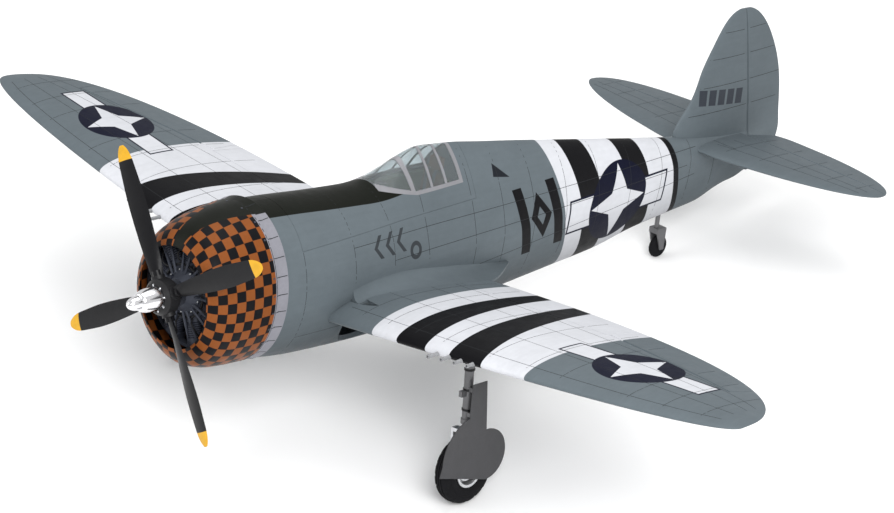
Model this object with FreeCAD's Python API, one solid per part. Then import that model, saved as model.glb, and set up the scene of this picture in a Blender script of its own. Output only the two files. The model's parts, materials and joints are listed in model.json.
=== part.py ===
import FreeCAD, Part
import math
import os

# Radio controlled 1/10 scale warbird with a razorback spine, in millimetres.
# Everything is drawn in the airframe frame: X forward, Y to port, Z up, origin on the thrust line
# in the propeller plane.  stand_on_wheels() turns it nose-up onto its three wheels for export.

V = FreeCAD.Vector

# ---- driving dimensions -------------------------------------------------------------------
HALF_SPAN = 621.0
ROOT_CHORD = 249.3
DIHEDRAL = 0.112            # rise of the wing per millimetre of span
WING_Z = -52.3              # wing middle height at the centre line
WING_ROOT_Y = 30.0          # inboard end of a plug-in wing panel
WING_THICK_ROOT = 0.135     # airfoil thickness over chord
WING_THICK_TIP = 0.10
TAIL_HALF_SPAN = 249.7
TAIL_CHORD = 146.3
TAIL_Z = 15.4
TAIL_THICK = 0.085
SPAR_X = -220.0             # joiner tube ahead of the wheel wells
WALL = 5.0                  # moulded foam wall
GAP = 0.6                   # clearance at hinge lines
LID_GAP = 0.4               # clearance round the hatch
SADDLE_GAP = 0.3            # clearance round the wing roots in the fuselage sides

# fuselage sections: x, half width, top z, widest z, bottom z, top exponent, bottom exponent
HULL = [
    (-66.0, 77.0, 95.0, -5.0, -94.0, 2.0, 2.0),
    (-118.0, 77.0, 91.5, -6.0, -99.0, 2.0, 2.0),
    (-170.0, 76.0, 87.5, -8.0, -106.0, 2.0, 2.0),
    (-230.0, 74.0, 82.0, -9.0, -110.0, 2.0, 2.0),
    (-285.0, 71.0, 79.0, -10.0, -112.5, 1.95, 2.0),
    (-312.0, 69.5, 80.5, -10.0, -113.0, 1.8, 2.0),
    (-345.0, 67.5, 97.0, -10.0, -113.0, 1.5, 2.0),
    (-385.0, 65.0, 110.0, -10.0, -112.0, 1.36, 2.0),
    (-440.0, 61.0, 105.5, -10.0, -110.0, 1.40, 2.0),
    (-500.0, 56.5, 96.0, -9.0, -106.0, 1.48, 2.0),
    (-560.0, 51.5, 86.5, -8.0, -101.0, 1.55, 2.0),
    (-640.0, 44.5, 73.0, -6.0, -95.0, 1.65, 2.0),
    (-720.0, 37.0, 59.5, -4.0, -89.0, 1.75, 2.0),
    (-800.0, 29.0, 46.0, -1.0, -76.0, 1.85, 2.0),
    (-870.0, 22.0, 35.5, 1.5, -69.0, 1.95, 2.0),
    (-930.0, 15.5, 29.5, 3.0, -63.0, 2.0, 2.0),
    (-970.0, 11.5, 26.5, 4.0, -51.0, 2.0, 2.0),
    (-1040.0, 6.0, 24.0, 4.0, -38.0, 2.0, 2.0),
]
HATCH_FRONT, HATCH_REAR, HATCH_SPLIT_Z = -150.0, -456.0, 46.0
CANOPY_FRONT, CANOPY_REAR, SILL_Z = -309.0, -440.0, 66.0
GLASS_WALL = 1.4
HULL_FRONT = -118.0         # front face of the fuselage, behind the cowl
HULL_STEP = 26.0            # spacing of the fuselage sections
CAVITY_REAR = -800.0        # the tail cone is solid behind this

# cowl sections: x, half width, top z, bottom z
COWL = [
    (-14.0, 58.0, 58.0, -67.0),
    (-18.0, 65.0, 66.0, -76.0),
    (-30.0, 73.5, 76.5, -88.0),
    (-50.0, 78.5, 84.5, -94.0),
    (-75.0, 80.0, 90.5, -96.5),
    (-104.0, 79.0, 94.0, -98.0),
]
COWL_WALL = 2.0
FLAP_RING_REAR = -117.0     # the cowl flaps end just ahead of the fuselage

# propeller
PROP_RADIUS = 176.0
PROP_ANGLE = 31.2           # first blade from straight up, about the shaft
BLADES = 4
SHAFT_R = 2.5

# control surfaces: hinge ends (x, y) on the port side
FLAP_HINGE = ((-388.0, 84.0), (-378.0, 334.0))
AILERON_HINGE = ((-380.0, 338.0), (-339.0, 547.0))
ELEVATOR_HINGE_X = -1003.0
RUDDER_HINGE = ((-1027.0, -36.0), (-983.0, 176.0))    # (x, z) at foot and head
BEVEL = 58.0                # half angle of a centre-hinged surface's nose, degrees

# undercarriage
GEAR_PIVOT = V(-272.0, 226.0, -34.0)
MAIN_AXLE = V(-271.0, 238.0, -186.0)
MAIN_WHEEL_R = 41.0
MAIN_WHEEL_W = 24.0
OLEO_TRAVEL = 6.0
TAIL_STEER_X = -862.0
TAIL_AXLE = V(-869.6, 0.0, -115.2)
TAIL_WHEEL_R = 15.0
TAIL_WHEEL_W = 9.0
DOOR_T = 1.2

# linkages
HORN_R = 14.0
ARM_AHEAD = 52.0            # servo shaft ahead of the hinge line
ROD_R = 0.8


# ---- frame ---------------------------------------------------------------------------------
def ground_pitch():
    """Nose-up angle that puts the main and the tail tyres on one level."""
    dx = MAIN_AXLE.x - TAIL_AXLE.x
    dz = MAIN_AXLE.z - TAIL_AXLE.z
    reach = math.hypot(dx, dz)
    return math.asin((MAIN_WHEEL_R - TAIL_WHEEL_R) / reach) - math.atan2(dz, dx)


PITCH = ground_pitch()
NOSE_X = 54.0
STERN = (-1085.5, 3.0)      # rearmost point of the rudder, x and z


def row_point(p, is_direction=False):
    """Airframe vector to the standing frame, whose origin is under the middle of the box."""
    c, s = math.cos(PITCH), math.sin(PITCH)
    x, z = p.x * c - p.z * s, p.x * s + p.z * c
    if is_direction:
        return V(x, p.y, z)
    front = NOSE_X * c
    back = STERN[0] * c - STERN[1] * s
    floor = MAIN_AXLE.x * s + MAIN_AXLE.z * c - MAIN_WHEEL_R
    return V(x - (front + back) / 2, p.y, z - floor)


def stand_on_wheels(shape):
    placed = shape.copy()
    placed.rotate(V(0, 0, 0), V(0, 1, 0), -math.degrees(PITCH))
    placed.translate(row_point(V(0, 0, 0)))
    return placed


def mirrored(shape):
    return shape.mirror(V(0, 0, 0), V(0, 1, 0))


# ---- general helpers -----------------------------------------------------------------------
def box(x0, x1, y0, y1, z0, z1):
    lo = V(min(x0, x1), min(y0, y1), min(z0, z1))
    return Part.makeBox(abs(x1 - x0), abs(y1 - y0), abs(z1 - z0), lo)


def rod(a, b, r):
    return Part.makeCylinder(r, (b - a).Length, a, b - a)


def ball(centre, r):
    return Part.makeSphere(r, centre)


def turned(profile):
    """Solid of revolution about the thrust line from (x, radius) points."""
    pts = [V(x, 0, r) for x, r in profile]
    wire = Part.makePolygon(pts + [pts[0]])
    return Part.Face(wire).revolve(V(0, 0, 0), V(1, 0, 0), 360)


def prism(points, y0, y1):
    """(x, z) polygon extruded along Y."""
    pts = [V(x, y0, z) for x, z in points]
    return Part.Face(Part.makePolygon(pts + [pts[0]])).extrude(V(0, y1 - y0, 0))


def even_steps(count):
    """Evenly spaced curve parameters, so that every section of a loft has the same knots."""
    return [i / count for i in range(count + 1)]


def smooth_loop(points):
    curve = Part.BSplineCurve()
    curve.interpolate(points, PeriodicFlag=True, Parameters=even_steps(len(points)))
    return Part.Wire(curve.toShape())


def one_solid(shape):
    """The largest solid of a boolean result."""
    return max(shape.Solids, key=lambda s: s.Volume)


# ---- fuselage ------------------------------------------------------------------------------
def oval(x, w, top, mid, bottom, n_top=2.0, n_bottom=2.0, steps=28):
    points = []
    for i in range(steps):
        a = 2 * math.pi * i / steps
        c, s = math.cos(a), math.sin(a)
        n = n_top if s >= 0 else n_bottom
        h = (top - mid) if s >= 0 else (mid - bottom)
        y = math.copysign(abs(c) ** (2 / n), c) * w
        z = mid + math.copysign(abs(s) ** (2 / n), s) * h
        points.append(V(x, y, z))
    return smooth_loop(points)


def slopes(xs, vs):
    """Tangents of a monotone cubic through the values."""
    steps = [(vs[i + 1] - vs[i]) / (xs[i + 1] - xs[i]) for i in range(len(xs) - 1)]
    inner = []
    for a, b in zip(steps, steps[1:]):
        inner.append(0.0 if a * b <= 0 else 2 * a * b / (a + b))
    return [steps[0]] + inner + [steps[-1]]


def at_station(table, x):
    """Row of a station table interpolated at x."""
    xs = [row[0] for row in table]
    i = 0
    while i < len(xs) - 2 and x < xs[i + 1]:
        i += 1
    span = xs[i + 1] - xs[i]
    t = min(max((x - xs[i]) / span, 0.0), 1.0)
    out = []
    for column in range(1, len(table[0])):
        vs = [row[column] for row in table]
        m = slopes(xs, vs)
        out.append(vs[i] * (1 + 2 * t) * (1 - t) ** 2 + vs[i + 1] * t * t * (3 - 2 * t)
                   + span * (m[i] * t * (1 - t) ** 2 - m[i + 1] * t * t * (1 - t)))
    return out


def hull_loft(inset, x_rear):
    """Smooth fuselage solid back to x_rear, drawn in by inset."""
    front = HULL[0][0]
    count = round((front - x_rear) / HULL_STEP) + 1
    wires = []
    for i in range(count):
        x = front + (x_rear - front) * i / (count - 1)
        w, top, mid, bottom, nt, nb = at_station(HULL, x)
        wires.append(oval(x, w - inset, top - inset, mid, bottom + inset, nt, nb))
    return Part.makeLoft(wires, True, False).common(box(HULL_FRONT, -1200, -150, 150, -200, 250))


def hull():
    return hull_loft(0.0, HULL[-1][0])


def hull_cavity():
    return hull_loft(WALL, CAVITY_REAR)


def cowl_solid(inset):
    """Cowl with a rounded front lip; its sections crowd together towards the lip."""
    front, rear = COWL[0][0], COWL[-1][0]
    count = 12
    wires = []
    for i in range(count):
        x = front + (rear - front) * (1 - math.cos(math.pi / 2 * i / (count - 1)))
        w, top, bottom = at_station(COWL, x)
        wires.append(oval(x, w - inset, top - inset, (top + bottom) / 2, bottom + inset))
    return Part.makeLoft(wires, True, False)


def cowl():
    """Cowl skin and, behind a step, the narrow band of open cooling flaps."""
    skin = cowl_solid(0.0).cut(cowl_solid(COWL_WALL))
    x0, w, top, bottom = COWL[-1]
    band = []
    for front_grow, rear_grow in ((-1.2, 1.5), (-2.6, -0.5)):
        rings = []
        for x, g in ((x0 + 1, front_grow), (FLAP_RING_REAR, rear_grow)):
            rings.append(oval(x, w + g, top + g, (top + bottom) / 2, bottom - g))
        band.append(Part.makeLoft(rings, True, True))
    return skin.fuse(band[0].cut(band[1]))


# ---- wing ----------------------------------------------------------------------------------
def wing_chord(y):
    t = min(y / HALF_SPAN, 1.0)
    return ROOT_CHORD * max(1 - t ** 2.266, 0.0) ** (1 / 2.379)


def wing_lead(y):
    return -194.8 - 0.032 * y - 0.243 * (ROOT_CHORD - wing_chord(y))


def foil_half(u, thick):
    """NACA four-digit half thickness over chord."""
    return 5 * thick * (0.2969 * math.sqrt(u) - 0.126 * u - 0.3516 * u * u
                        + 0.2843 * u ** 3 - 0.1036 * u ** 4)


def foil_camber(u, camber):
    p = 0.4
    if u < p:
        return camber / p ** 2 * (2 * p * u - u * u)
    return camber / (1 - p) ** 2 * (1 - 2 * p + 2 * p * u - u * u)


def wing_thickness(y):
    return WING_THICK_ROOT + (WING_THICK_TIP - WING_THICK_ROOT) * y / HALF_SPAN


def wing_surface(x, y, side):
    """Height of the upper (+1) or lower (-1) skin."""
    c = wing_chord(y)
    u = (wing_lead(y) - x) / c
    return WING_Z + DIHEDRAL * y + c * (foil_camber(u, 0.015) + side * foil_half(u, wing_thickness(y)))


def foil_wire(lead, c, y, z_mid, thick, camber, te=0.5, grow=0.0):
    """Section at y, closed by a blunt trailing edge of half thickness te, widened by grow."""
    n = 16
    us = [0.5 * (1 - math.cos(math.pi * i / n)) for i in range(n + 1)]
    upper, lower = [], []
    for u in us:
        half = c * foil_half(u, thick) + te * u + grow * math.sqrt(min(1.0, 20 * u))
        z = z_mid + c * foil_camber(u, camber)
        x = lead + grow - (c + 2 * grow) * u
        upper.append(V(x, y, z + half))
        lower.append(V(x, y, z - half))
    loop = list(reversed(upper)) + lower[1:]
    curve = Part.BSplineCurve()
    curve.interpolate(loop, Parameters=even_steps(len(loop) - 1))
    return Part.Wire([curve.toShape(), Part.makeLine(loop[-1], loop[0])])


def wing_blank(grow=0.0):
    """Whole port wing from its root rib to its tip."""
    wires = []
    count = 13
    start = math.asin(WING_ROOT_Y / HALF_SPAN)
    end = math.asin(0.9985)
    for i in range(count):
        y = HALF_SPAN * math.sin(start + (end - start) * i / (count - 1))
        te = 0.5 * min(1.0, wing_chord(y) / 100)
        wires.append(foil_wire(wing_lead(y), wing_chord(y), y, WING_Z + DIHEDRAL * y,
                               wing_thickness(y), 0.015, te, grow))
    return Part.makeLoft(wires, True, False)


class HingeFrame:
    """Local frame on a hinge line: X forward, Y along the hinge, Z up."""

    def __init__(self, inner, outer):
        self.origin = inner
        self.y = (outer - inner).normalize()
        self.length = (outer - inner).Length
        up = V(0, 0, 1)
        self.x = self.y.cross(up).normalize()
        self.z = self.x.cross(self.y)
        m = FreeCAD.Matrix(self.x.x, self.y.x, self.z.x, inner.x, self.x.y, self.y.y, self.z.y,
                           inner.y, self.x.z, self.y.z, self.z.z, inner.z, 0, 0, 0, 1)
        self.placement = FreeCAD.Placement(m)

    def put(self, shape):
        placed = shape.copy()
        placed.Placement = self.placement.multiply(placed.Placement)
        return placed

    def point(self, x, y, z):
        return self.origin + self.x * x + self.y * y + self.z * z


def flap_frame():
    ends = [V(x, y, wing_surface(x, y, -1) - 0.3) for x, y in FLAP_HINGE]
    return HingeFrame(*ends)


def aileron_frame():
    ends = [V(x, y, (wing_surface(x, y, -1) + wing_surface(x, y, 1)) / 2) for x, y in AILERON_HINGE]
    return HingeFrame(*ends)


def elevator_frame():
    return HingeFrame(V(ELEVATOR_HINGE_X, 0, TAIL_Z), V(ELEVATOR_HINGE_X, TAIL_HALF_SPAN, TAIL_Z))


def rudder_frame():
    (x0, z0), (x1, z1) = RUDDER_HINGE
    frame = HingeFrame(V(x0, 0, z0), V(x0, 100, z0))
    frame.y = V(x1 - x0, 0, z1 - z0).normalize()
    frame.z = V(0, -1, 0)
    frame.x = frame.y.cross(frame.z).normalize()
    frame.length = math.hypot(x1 - x0, z1 - z0)
    o = frame.origin
    m = FreeCAD.Matrix(frame.x.x, frame.y.x, frame.z.x, o.x, frame.x.y, frame.y.y, frame.z.y, o.y,
                       frame.x.z, frame.y.z, frame.z.z, o.z, 0, 0, 0, 1)
    frame.placement = FreeCAD.Placement(m)
    return frame


def nose_wedge(y0, y1, depth=120.0, height=32.0):
    """Room that a centre-hinged surface may fill: a wedge with its edge on the hinge line."""
    back = -height / math.tan(math.radians(BEVEL))
    return prism([(0, 0), (back, height), (-depth, height), (-depth, -height), (back, -height)], y0, y1)


def slot_block(y0, y1, depth=120.0, height=40.0):
    return prism([(GAP, height), (-depth, height), (-depth, -height), (GAP, -height)], y0, y1)


# ---- undercarriage geometry ------------------------------------------------------------------
def leg_axis():
    return (MAIN_AXLE - GEAR_PIVOT).normalize()


def leg_frame():
    """Frame on the retract pivot: Z up the leg, X forward, Y outboard."""
    z = leg_axis() * -1
    x = V(1, 0, 0)
    y = z.cross(x).normalize()
    x = y.cross(z)
    m = FreeCAD.Matrix(x.x, y.x, z.x, GEAR_PIVOT.x, x.y, y.y, z.y, GEAR_PIVOT.y,
                       x.z, y.z, z.z, GEAR_PIVOT.z, 0, 0, 0, 1)
    return FreeCAD.Placement(m)


def on_leg(shape):
    placed = shape.copy()
    placed.Placement = leg_frame().multiply(placed.Placement)
    return placed


LEG = (MAIN_AXLE - GEAR_PIVOT).Length


def folded(shape):
    """A port leg piece turned up into the wing about the retract pivot."""
    placed = shape.copy()
    placed.rotate(GEAR_PIVOT, V(1, 0, 0), -90)
    return placed


def door_outline(grow=0.0):
    """Leg door in the leg frame (x forward, z up the leg): a narrow strip behind the leg
    that widens into a cover with a rounded lobe over the upper two thirds of the wheel."""
    g = grow
    top_rear, top_front = V(-15 - g, 0, -44 + g), V(8 + g, 0, -44 + g)
    neck_front, neck_rear = V(10 + g, 0, -LEG + 68), V(-19 - g, 0, -LEG + 48)
    brow, shoulder = V(34 + g, 0, -LEG + 55 + g), V(50 + g, 0, -LEG + 18)
    toe, heel = V(54 + g, 0, -LEG + 5 - g), V(-22 - g, 0, -LEG - 14 - g)
    lobe = V(-52 - g, 0, -LEG + 10)
    edges = [Part.makeLine(top_rear, top_front), Part.makeLine(top_front, neck_front),
             Part.Arc(neck_front, brow, shoulder).toShape(), Part.makeLine(shoulder, toe),
             Part.makeLine(toe, heel), Part.Arc(heel, lobe, neck_rear).toShape(),
             Part.makeLine(neck_rear, top_rear)]
    return Part.Face(Part.Wire(edges))


DOOR_Y = MAIN_WHEEL_W / 2 + 2.0


def leg_door():
    door = door_outline().extrude(V(0, DOOR_T, 0))
    door.translate(V(0, DOOR_Y, 0))
    return on_leg(door)


def wheel_well():
    """Everything the folded leg, wheel and door need, opened downwards through the skin."""
    tall = 90.0
    top = -MAIN_WHEEL_W / 2 - 8.0
    r = MAIN_WHEEL_R + 2.5
    disc = Part.makeCylinder(r, tall, V(0, top, -LEG), V(0, 1, 0))
    pushed_in = Part.makeCylinder(r, tall, V(0, top, -LEG + OLEO_TRAVEL), V(0, 1, 0))
    between = box(-r, r, top, tall + top, -LEG, -LEG + OLEO_TRAVEL)
    channel = box(-9, 15, -9, tall + top, -LEG, -8)
    cover = door_outline(2.0).extrude(V(0, tall, 0))
    cover.translate(V(0, DOOR_Y - 2.0, 0))
    unit = box(-13.5, 13.5, -9, tall + top, -40, 22)
    bridge = box(-6.5, 6.5, top + 1, 6, -LEG + 30, -LEG + 55)
    tool = disc.fuse([pushed_in, between, channel, cover, unit, bridge])
    mount = box(-13.5, 13.5, -7.5, 7.5, 0, 20.5)
    return folded(on_leg(tool)).fuse(on_leg(mount))


# ---- wing panels -----------------------------------------------------------------------------
def spar_tube():
    """Carbon tube that joins the two panels through the fuselage."""
    x, z = SPAR_X, WING_Z + 4.0
    reach = 196.0
    r = 4.0
    left = rod(V(x, 0, z), V(x, reach, z + DIHEDRAL * reach), r)
    right = mirrored(left)
    joint = ball(V(x, 0, z), r)
    return left.fuse([right, joint])


def servo_block(frame, y_mid, z_low):
    """Micro servo lying flat, its shaft along the hinge direction."""
    body = box(ARM_AHEAD - 6, ARM_AHEAD + 17, y_mid + 3, y_mid + 26, z_low, z_low + 12)
    boss = rod(V(ARM_AHEAD, y_mid + 3, z_low + 6), V(ARM_AHEAD, y_mid + 1.6, z_low + 6), 3.4)
    ears = box(ARM_AHEAD - 10, ARM_AHEAD + 21, y_mid + 8, y_mid + 9.6, z_low + 0.5, z_low + 11.5)
    return frame.put(body.fuse([boss, ears]))


def servo_pocket(frame, y_mid, z_low):
    """Recess in the lower skin for the servo and its swinging arm."""
    room = box(ARM_AHEAD - 11, ARM_AHEAD + 22, y_mid + 2.5, y_mid + 27, z_low - 40, z_low + 13)
    arm_room = box(ARM_AHEAD - 18, ARM_AHEAD + 18, y_mid - 3.5, y_mid + 2.6, z_low - 40, z_low + 10.5)
    return frame.put(room.fuse(arm_room))


LINK_Y = {"flap": 150.0, "aileron": 92.0}
FRAMES = {"flap": flap_frame, "aileron": aileron_frame}
LINK_DEPTH = {"flap": 0.0, "aileron": 5.0}      # lower skin below the hinge axis at the hinge


def link_drop(kind):
    """Height of the servo shaft below the hinge axis, in the hinge frame."""
    frame = FRAMES[kind]()
    p = frame.point(ARM_AHEAD, LINK_Y[kind], 0)
    skin = wing_surface(p.x, p.y, -1)
    return skin - p.z + 7.5


def servo_arm_shape(length):
    hub = rod(V(0, -1.4, 0), V(0, 1.4, 0), 3.2)
    tip = rod(V(0, -1.4, -length), V(0, 1.4, -length), 2.2)
    web = prism([(-2.6, 0), (2.6, 0), (1.8, -length), (-1.8, -length)], -1.4, 1.4)
    return hub.fuse([web, tip]).removeSplitter()


def rod_shape(start, end):
    """Pushrod with a clevis eye at each end, lying beside the arm and the horn."""
    y = -2.4
    a, b = V(start.x, y, start.z), V(end.x, y, end.z)
    wire = rod(a, b, ROD_R)
    eyes = [rod(V(p.x, y - 0.9, p.z), V(p.x, y + 0.9, p.z), 2.0) for p in (a, b)]
    return wire.fuse(eyes)


def horn_shape(skin):
    """Control horn: a plate under the surface whose tip hangs straight below the hinge axis."""
    z0 = skin - 0.2
    plate = prism([(-4.5, z0 + 3), (-16, z0 + 3), (-16, z0 - 1.5), (-2.2, -HORN_R - 2.0),
                   (2.2, -HORN_R - 2.0), (2.2, -HORN_R + 1.0), (-4.5, z0 - 2.5)], -0.8, 0.8)
    foot = box(-17, -4.0, -4, 4, z0 - 1.0, z0 + 2.0)
    return plate.fuse(foot)


def linkage(kind):
    """Servo, arm, pushrod and horn of one port wing surface."""
    frame = FRAMES[kind]()
    y_mid = LINK_Y[kind]
    drop = link_drop(kind)
    z_low = drop - 6
    servo = servo_block(frame, y_mid, z_low)
    arm = servo_arm_shape(HORN_R)
    arm.translate(V(ARM_AHEAD, y_mid, drop))
    start = V(ARM_AHEAD, 0, drop - HORN_R)
    end = V(0, 0, -HORN_R)
    push = rod_shape(start, end)
    push.translate(V(0, y_mid, 0))
    horn = horn_shape(-LINK_DEPTH[kind])
    horn.translate(V(0, y_mid, 0))
    return {"servo": servo, "arm": frame.put(arm), "pushrod": frame.put(push), "horn": frame.put(horn)}


def wing_parts():
    blank = wing_blank()
    ff, af = flap_frame(), aileron_frame()
    flap_room = ff.put(prism([(0, 40), (-120, 40), (-120, -40), (0, -40)], 0, ff.length))
    flap_slot = ff.put(slot_block(-GAP, ff.length + GAP))
    aileron_room = af.put(nose_wedge(0, af.length))
    aileron_slot = af.put(slot_block(-GAP, af.length + GAP))
    flap = one_solid(blank.common(flap_room))
    aileron = one_solid(blank.common(aileron_room))
    panel = blank.cut(flap_slot).cut(aileron_slot).cut(wheel_well()).cut(spar_tube())
    for kind in ("flap", "aileron"):
        frame = FRAMES[kind]()
        panel = panel.cut(servo_pocket(frame, LINK_Y[kind], link_drop(kind) - 6))
    return one_solid(panel), flap, aileron


# ---- tail ------------------------------------------------------------------------------------
def tail_chord(y):
    t = min(y / TAIL_HALF_SPAN, 1.0)
    return TAIL_CHORD * max(1 - t ** 1.925, 0.0) ** (1 / 1.965)


def tail_lead(y):
    return -899.1 - 0.124 * y - 0.431 * (TAIL_CHORD - tail_chord(y))


def tailplane_blank():
    wires = []
    count = 10
    end = math.asin(0.997)
    for i in range(count):
        y = TAIL_HALF_SPAN * math.sin(end * i / (count - 1))
        te = 0.5 * min(1.0, tail_chord(y) / 60)
        wires.append(foil_wire(tail_lead(y), tail_chord(y), y, TAIL_Z, TAIL_THICK, 0.0, te))
    return Part.makeLoft(wires, True, False)


# fin and rudder together: z, leading x, trailing x, thickness
FIN = [
    (-38.0, -960.0, -1048.0, 9.0),
    (-24.0, -950.0, -1071.0, 11.0),
    (3.0, -930.0, -1085.5, 12.5),
    (34.0, -869.0, -1083.0, 14.0),
    (78.0, -894.5, -1075.0, 13.0),
    (116.0, -909.0, -1062.0, 11.5),
    (150.0, -926.5, -1042.5, 9.5),
    (175.0, -942.0, -1021.5, 7.5),
    (188.0, -956.0, -1004.0, 5.5),
    (193.3, -970.0, -990.0, 3.2),
]


def fin_blank():
    wires = []
    for z, lead, trail, thick in FIN:
        c = lead - trail
        w = foil_wire(lead, c, 0, 0, thick / c, 0.0, 0.4)
        w.rotate(V(0, 0, 0), V(1, 0, 0), 90)
        w.translate(V(0, 0, z))
        wires.append(w)
    return Part.makeLoft(wires, True, False)


def tail_parts(outer_hull):
    ef, rf = elevator_frame(), rudder_frame()
    tailplane = tailplane_blank()
    reach = 45.0
    inner = [(ELEVATOR_HINGE_X + 30, 13.0), (ELEVATOR_HINGE_X, 13.0), (ELEVATOR_HINGE_X - reach, 30.0),
             (ELEVATOR_HINGE_X - 60, 30.0), (ELEVATOR_HINGE_X - 60, 300), (ELEVATOR_HINGE_X + 30, 300)]
    pts = [V(x, y, -60) for x, y in inner]
    clear_of_rudder = Part.Face(Part.makePolygon(pts + [pts[0]])).extrude(V(0, 0, 140))
    elevator = tailplane.common(ef.put(nose_wedge(13.0, TAIL_HALF_SPAN + 5)))
    elevator = one_solid(elevator.common(clear_of_rudder))
    stab = tailplane.cut(ef.put(slot_block(-5, TAIL_HALF_SPAN + 9)))
    blank = fin_blank()
    rudder = one_solid(blank.common(rf.put(nose_wedge(-20, 260))))
    fin = blank.cut(rf.put(slot_block(-30, 300)))
    fin = one_solid(fin.cut(outer_hull).cut(box(-800, -1100, -40, 40, -200, 20)))
    return one_solid(stab), elevator, fin, rudder


def elevator_joiner(grow=0.0):
    """Steel torque wire on the hinge axis with an elbow into each elevator."""
    r = 1.2 + grow
    x, z = ELEVATOR_HINGE_X, TAIL_Z
    half = 24.0
    bar = rod(V(x, -half, z), V(x, half, z), r)
    elbows = [rod(V(x, s * half, z), V(x - 22, s * half, z), r) for s in (-1, 1)]
    corners = [ball(V(x, s * half, z), r) for s in (-1, 1)]
    return bar.fuse(elbows + corners)


# ---- power unit --------------------------------------------------------------------------------
def blade(k):
    """Paddle blade twisted from root to tip, on a round shank."""
    # share of the radius, chord, thickness, pitch in degrees
    stations = [(0.136, 15, 7.0, 32), (0.284, 20, 5.0, 24), (0.511, 25, 3.4, 15), (0.739, 25, 2.4, 10),
                (0.898, 21, 1.8, 8), (0.966, 14, 1.4, 7), (0.997, 6, 1.0, 7)]
    wires = []
    for share, c, t, pitch in stations:
        r = PROP_RADIUS * share
        edges = []
        for side in (1, -1):
            nose, belly, tail = V(0, side * c / 2, r), V(side * t / 2, 0, r), V(0, -side * c / 2, r)
            edges.append(Part.Arc(nose, belly, tail).toShape())
        w = Part.Wire(edges)
        w.rotate(V(0, 0, r), V(0, 0, 1), pitch)
        wires.append(w)
    paddle = Part.makeLoft(wires, True, False)
    shank = Part.makeCylinder(5.5, 20, V(0, 0, 10))
    whole = paddle.fuse(shank)
    whole.rotate(V(0, 0, 0), V(1, 0, 0), PROP_ANGLE + 360 / BLADES * k)
    return whole


def prop_hub():
    barrel = turned([(-9, 3.0), (-9, 19), (-6, 21), (8, 21), (12, 17), (12, 3.0)])
    for k in range(BLADES):
        socket = Part.makeCylinder(5.5, 40, V(0, 0, 10))
        boss = Part.makeCylinder(8, 24, V(0, 0, 0))
        turn = PROP_ANGLE + 360 / BLADES * k
        boss.rotate(V(0, 0, 0), V(1, 0, 0), turn)
        socket.rotate(V(0, 0, 0), V(1, 0, 0), turn)
        barrel = barrel.fuse(boss).cut(socket)
    return barrel.cut(rod(V(-20, 0, 0), V(30, 0, 0), 3.0))


def spinner():
    """Two-step polished dome over the shaft nut."""
    base_x, step_x, base_r, tip_r, n = 12.2, 38.0, 14.5, 8.5, 8
    profile = [(30.0, 0), (30.0, 6.0), (base_x, 6.0)]
    for i in range(n + 1):
        a = math.pi / 2 * i / n
        profile.append((base_x + (step_x - base_x) * math.sin(a), tip_r + (base_r - tip_r) * math.cos(a)))
    for i in range(1, n + 1):
        a = math.pi / 2 * i / n
        profile.append((step_x + (NOSE_X - step_x) * math.sin(a), tip_r * math.cos(a)))
    return turned(profile)


def prop_adapter():
    """Collet shaft through the hub with its clamp nut."""
    shaft = rod(V(-9, 0, 0), V(22, 0, 0), 3.0)
    collar = rod(V(-16, 0, 0), V(-9, 0, 0), 7.0)
    nut = Part.makeCylinder(5.4, 6, V(12.2, 0, 0), V(1, 0, 0))
    return shaft.fuse([collar, nut])


def motor_bell():
    """Rotating outrunner can with its output shaft."""
    can = turned([(-58, 0), (-58, 12), (-62, 20), (-92, 20), (-92, 17.5), (-66, 17.5), (-66, 0)])
    return can.fuse(rod(V(-16, 0, 0), V(-60, 0, 0), SHAFT_R))


def motor_stator():
    return turned([(-68, 2.8), (-68, 16.8), (-90, 16.8), (-90, 9), (-95, 9), (-95, 17),
                   (-100, 17), (-100, 2.8)])


def motor_mount():
    """Cross plate on four stand-offs ahead of the firewall."""
    plate = rod(V(-100, 0, 0), V(-103, 0, 0), 26)
    posts = []
    for i in range(4):
        a = math.radians(45 + 90 * i)
        posts.append(rod(V(-103, 20 * math.cos(a), 20 * math.sin(a)),
                         V(-118, 20 * math.cos(a), 20 * math.sin(a)), 3.5))
    return plate.fuse(posts)


def engine_dummy():
    """Moulded radial engine: crankcase, nine cylinders with rocker boxes and pushrod tubes."""
    case = turned([(-20, 9), (-20, 16), (-30, 26), (-52, 28), (-52, 24), (-40, 22), (-34, 20), (-30, 9)])
    pieces = []
    for k in range(9):
        cylinder = Part.makeCylinder(11.5, 38, V(-42, 0, 24))
        head = box(-49, -35, -12.5, 12.5, 56, 66)
        tubes = [rod(V(-27, s * 3, 22), V(-33, s * 7, 58), 1.5) for s in (-1, 1)]
        group = cylinder.fuse([head] + tubes)
        group.rotate(V(0, 0, 0), V(1, 0, 0), 40 * k)
        pieces.append(group)
    ring = turned([(-47, 66), (-37, 66), (-37, 69), (-47, 69)])
    return case.fuse(pieces + [ring])


# ---- hatch -------------------------------------------------------------------------------------
def hatch_room(gap=0.0):
    return box(HATCH_FRONT + gap, HATCH_REAR - gap, -100, 100, HATCH_SPLIT_Z - gap, 160)


def canopy_room():
    """Region of the hull above the cockpit sill, between windscreen foot and rear bulkhead."""
    slope = [(CANOPY_FRONT, SILL_Z + 9), (CANOPY_FRONT - 50, SILL_Z), (CANOPY_REAR, SILL_Z),
             (CANOPY_REAR, 160), (CANOPY_FRONT, 160)]
    return prism(slope, -80, 80)


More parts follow.
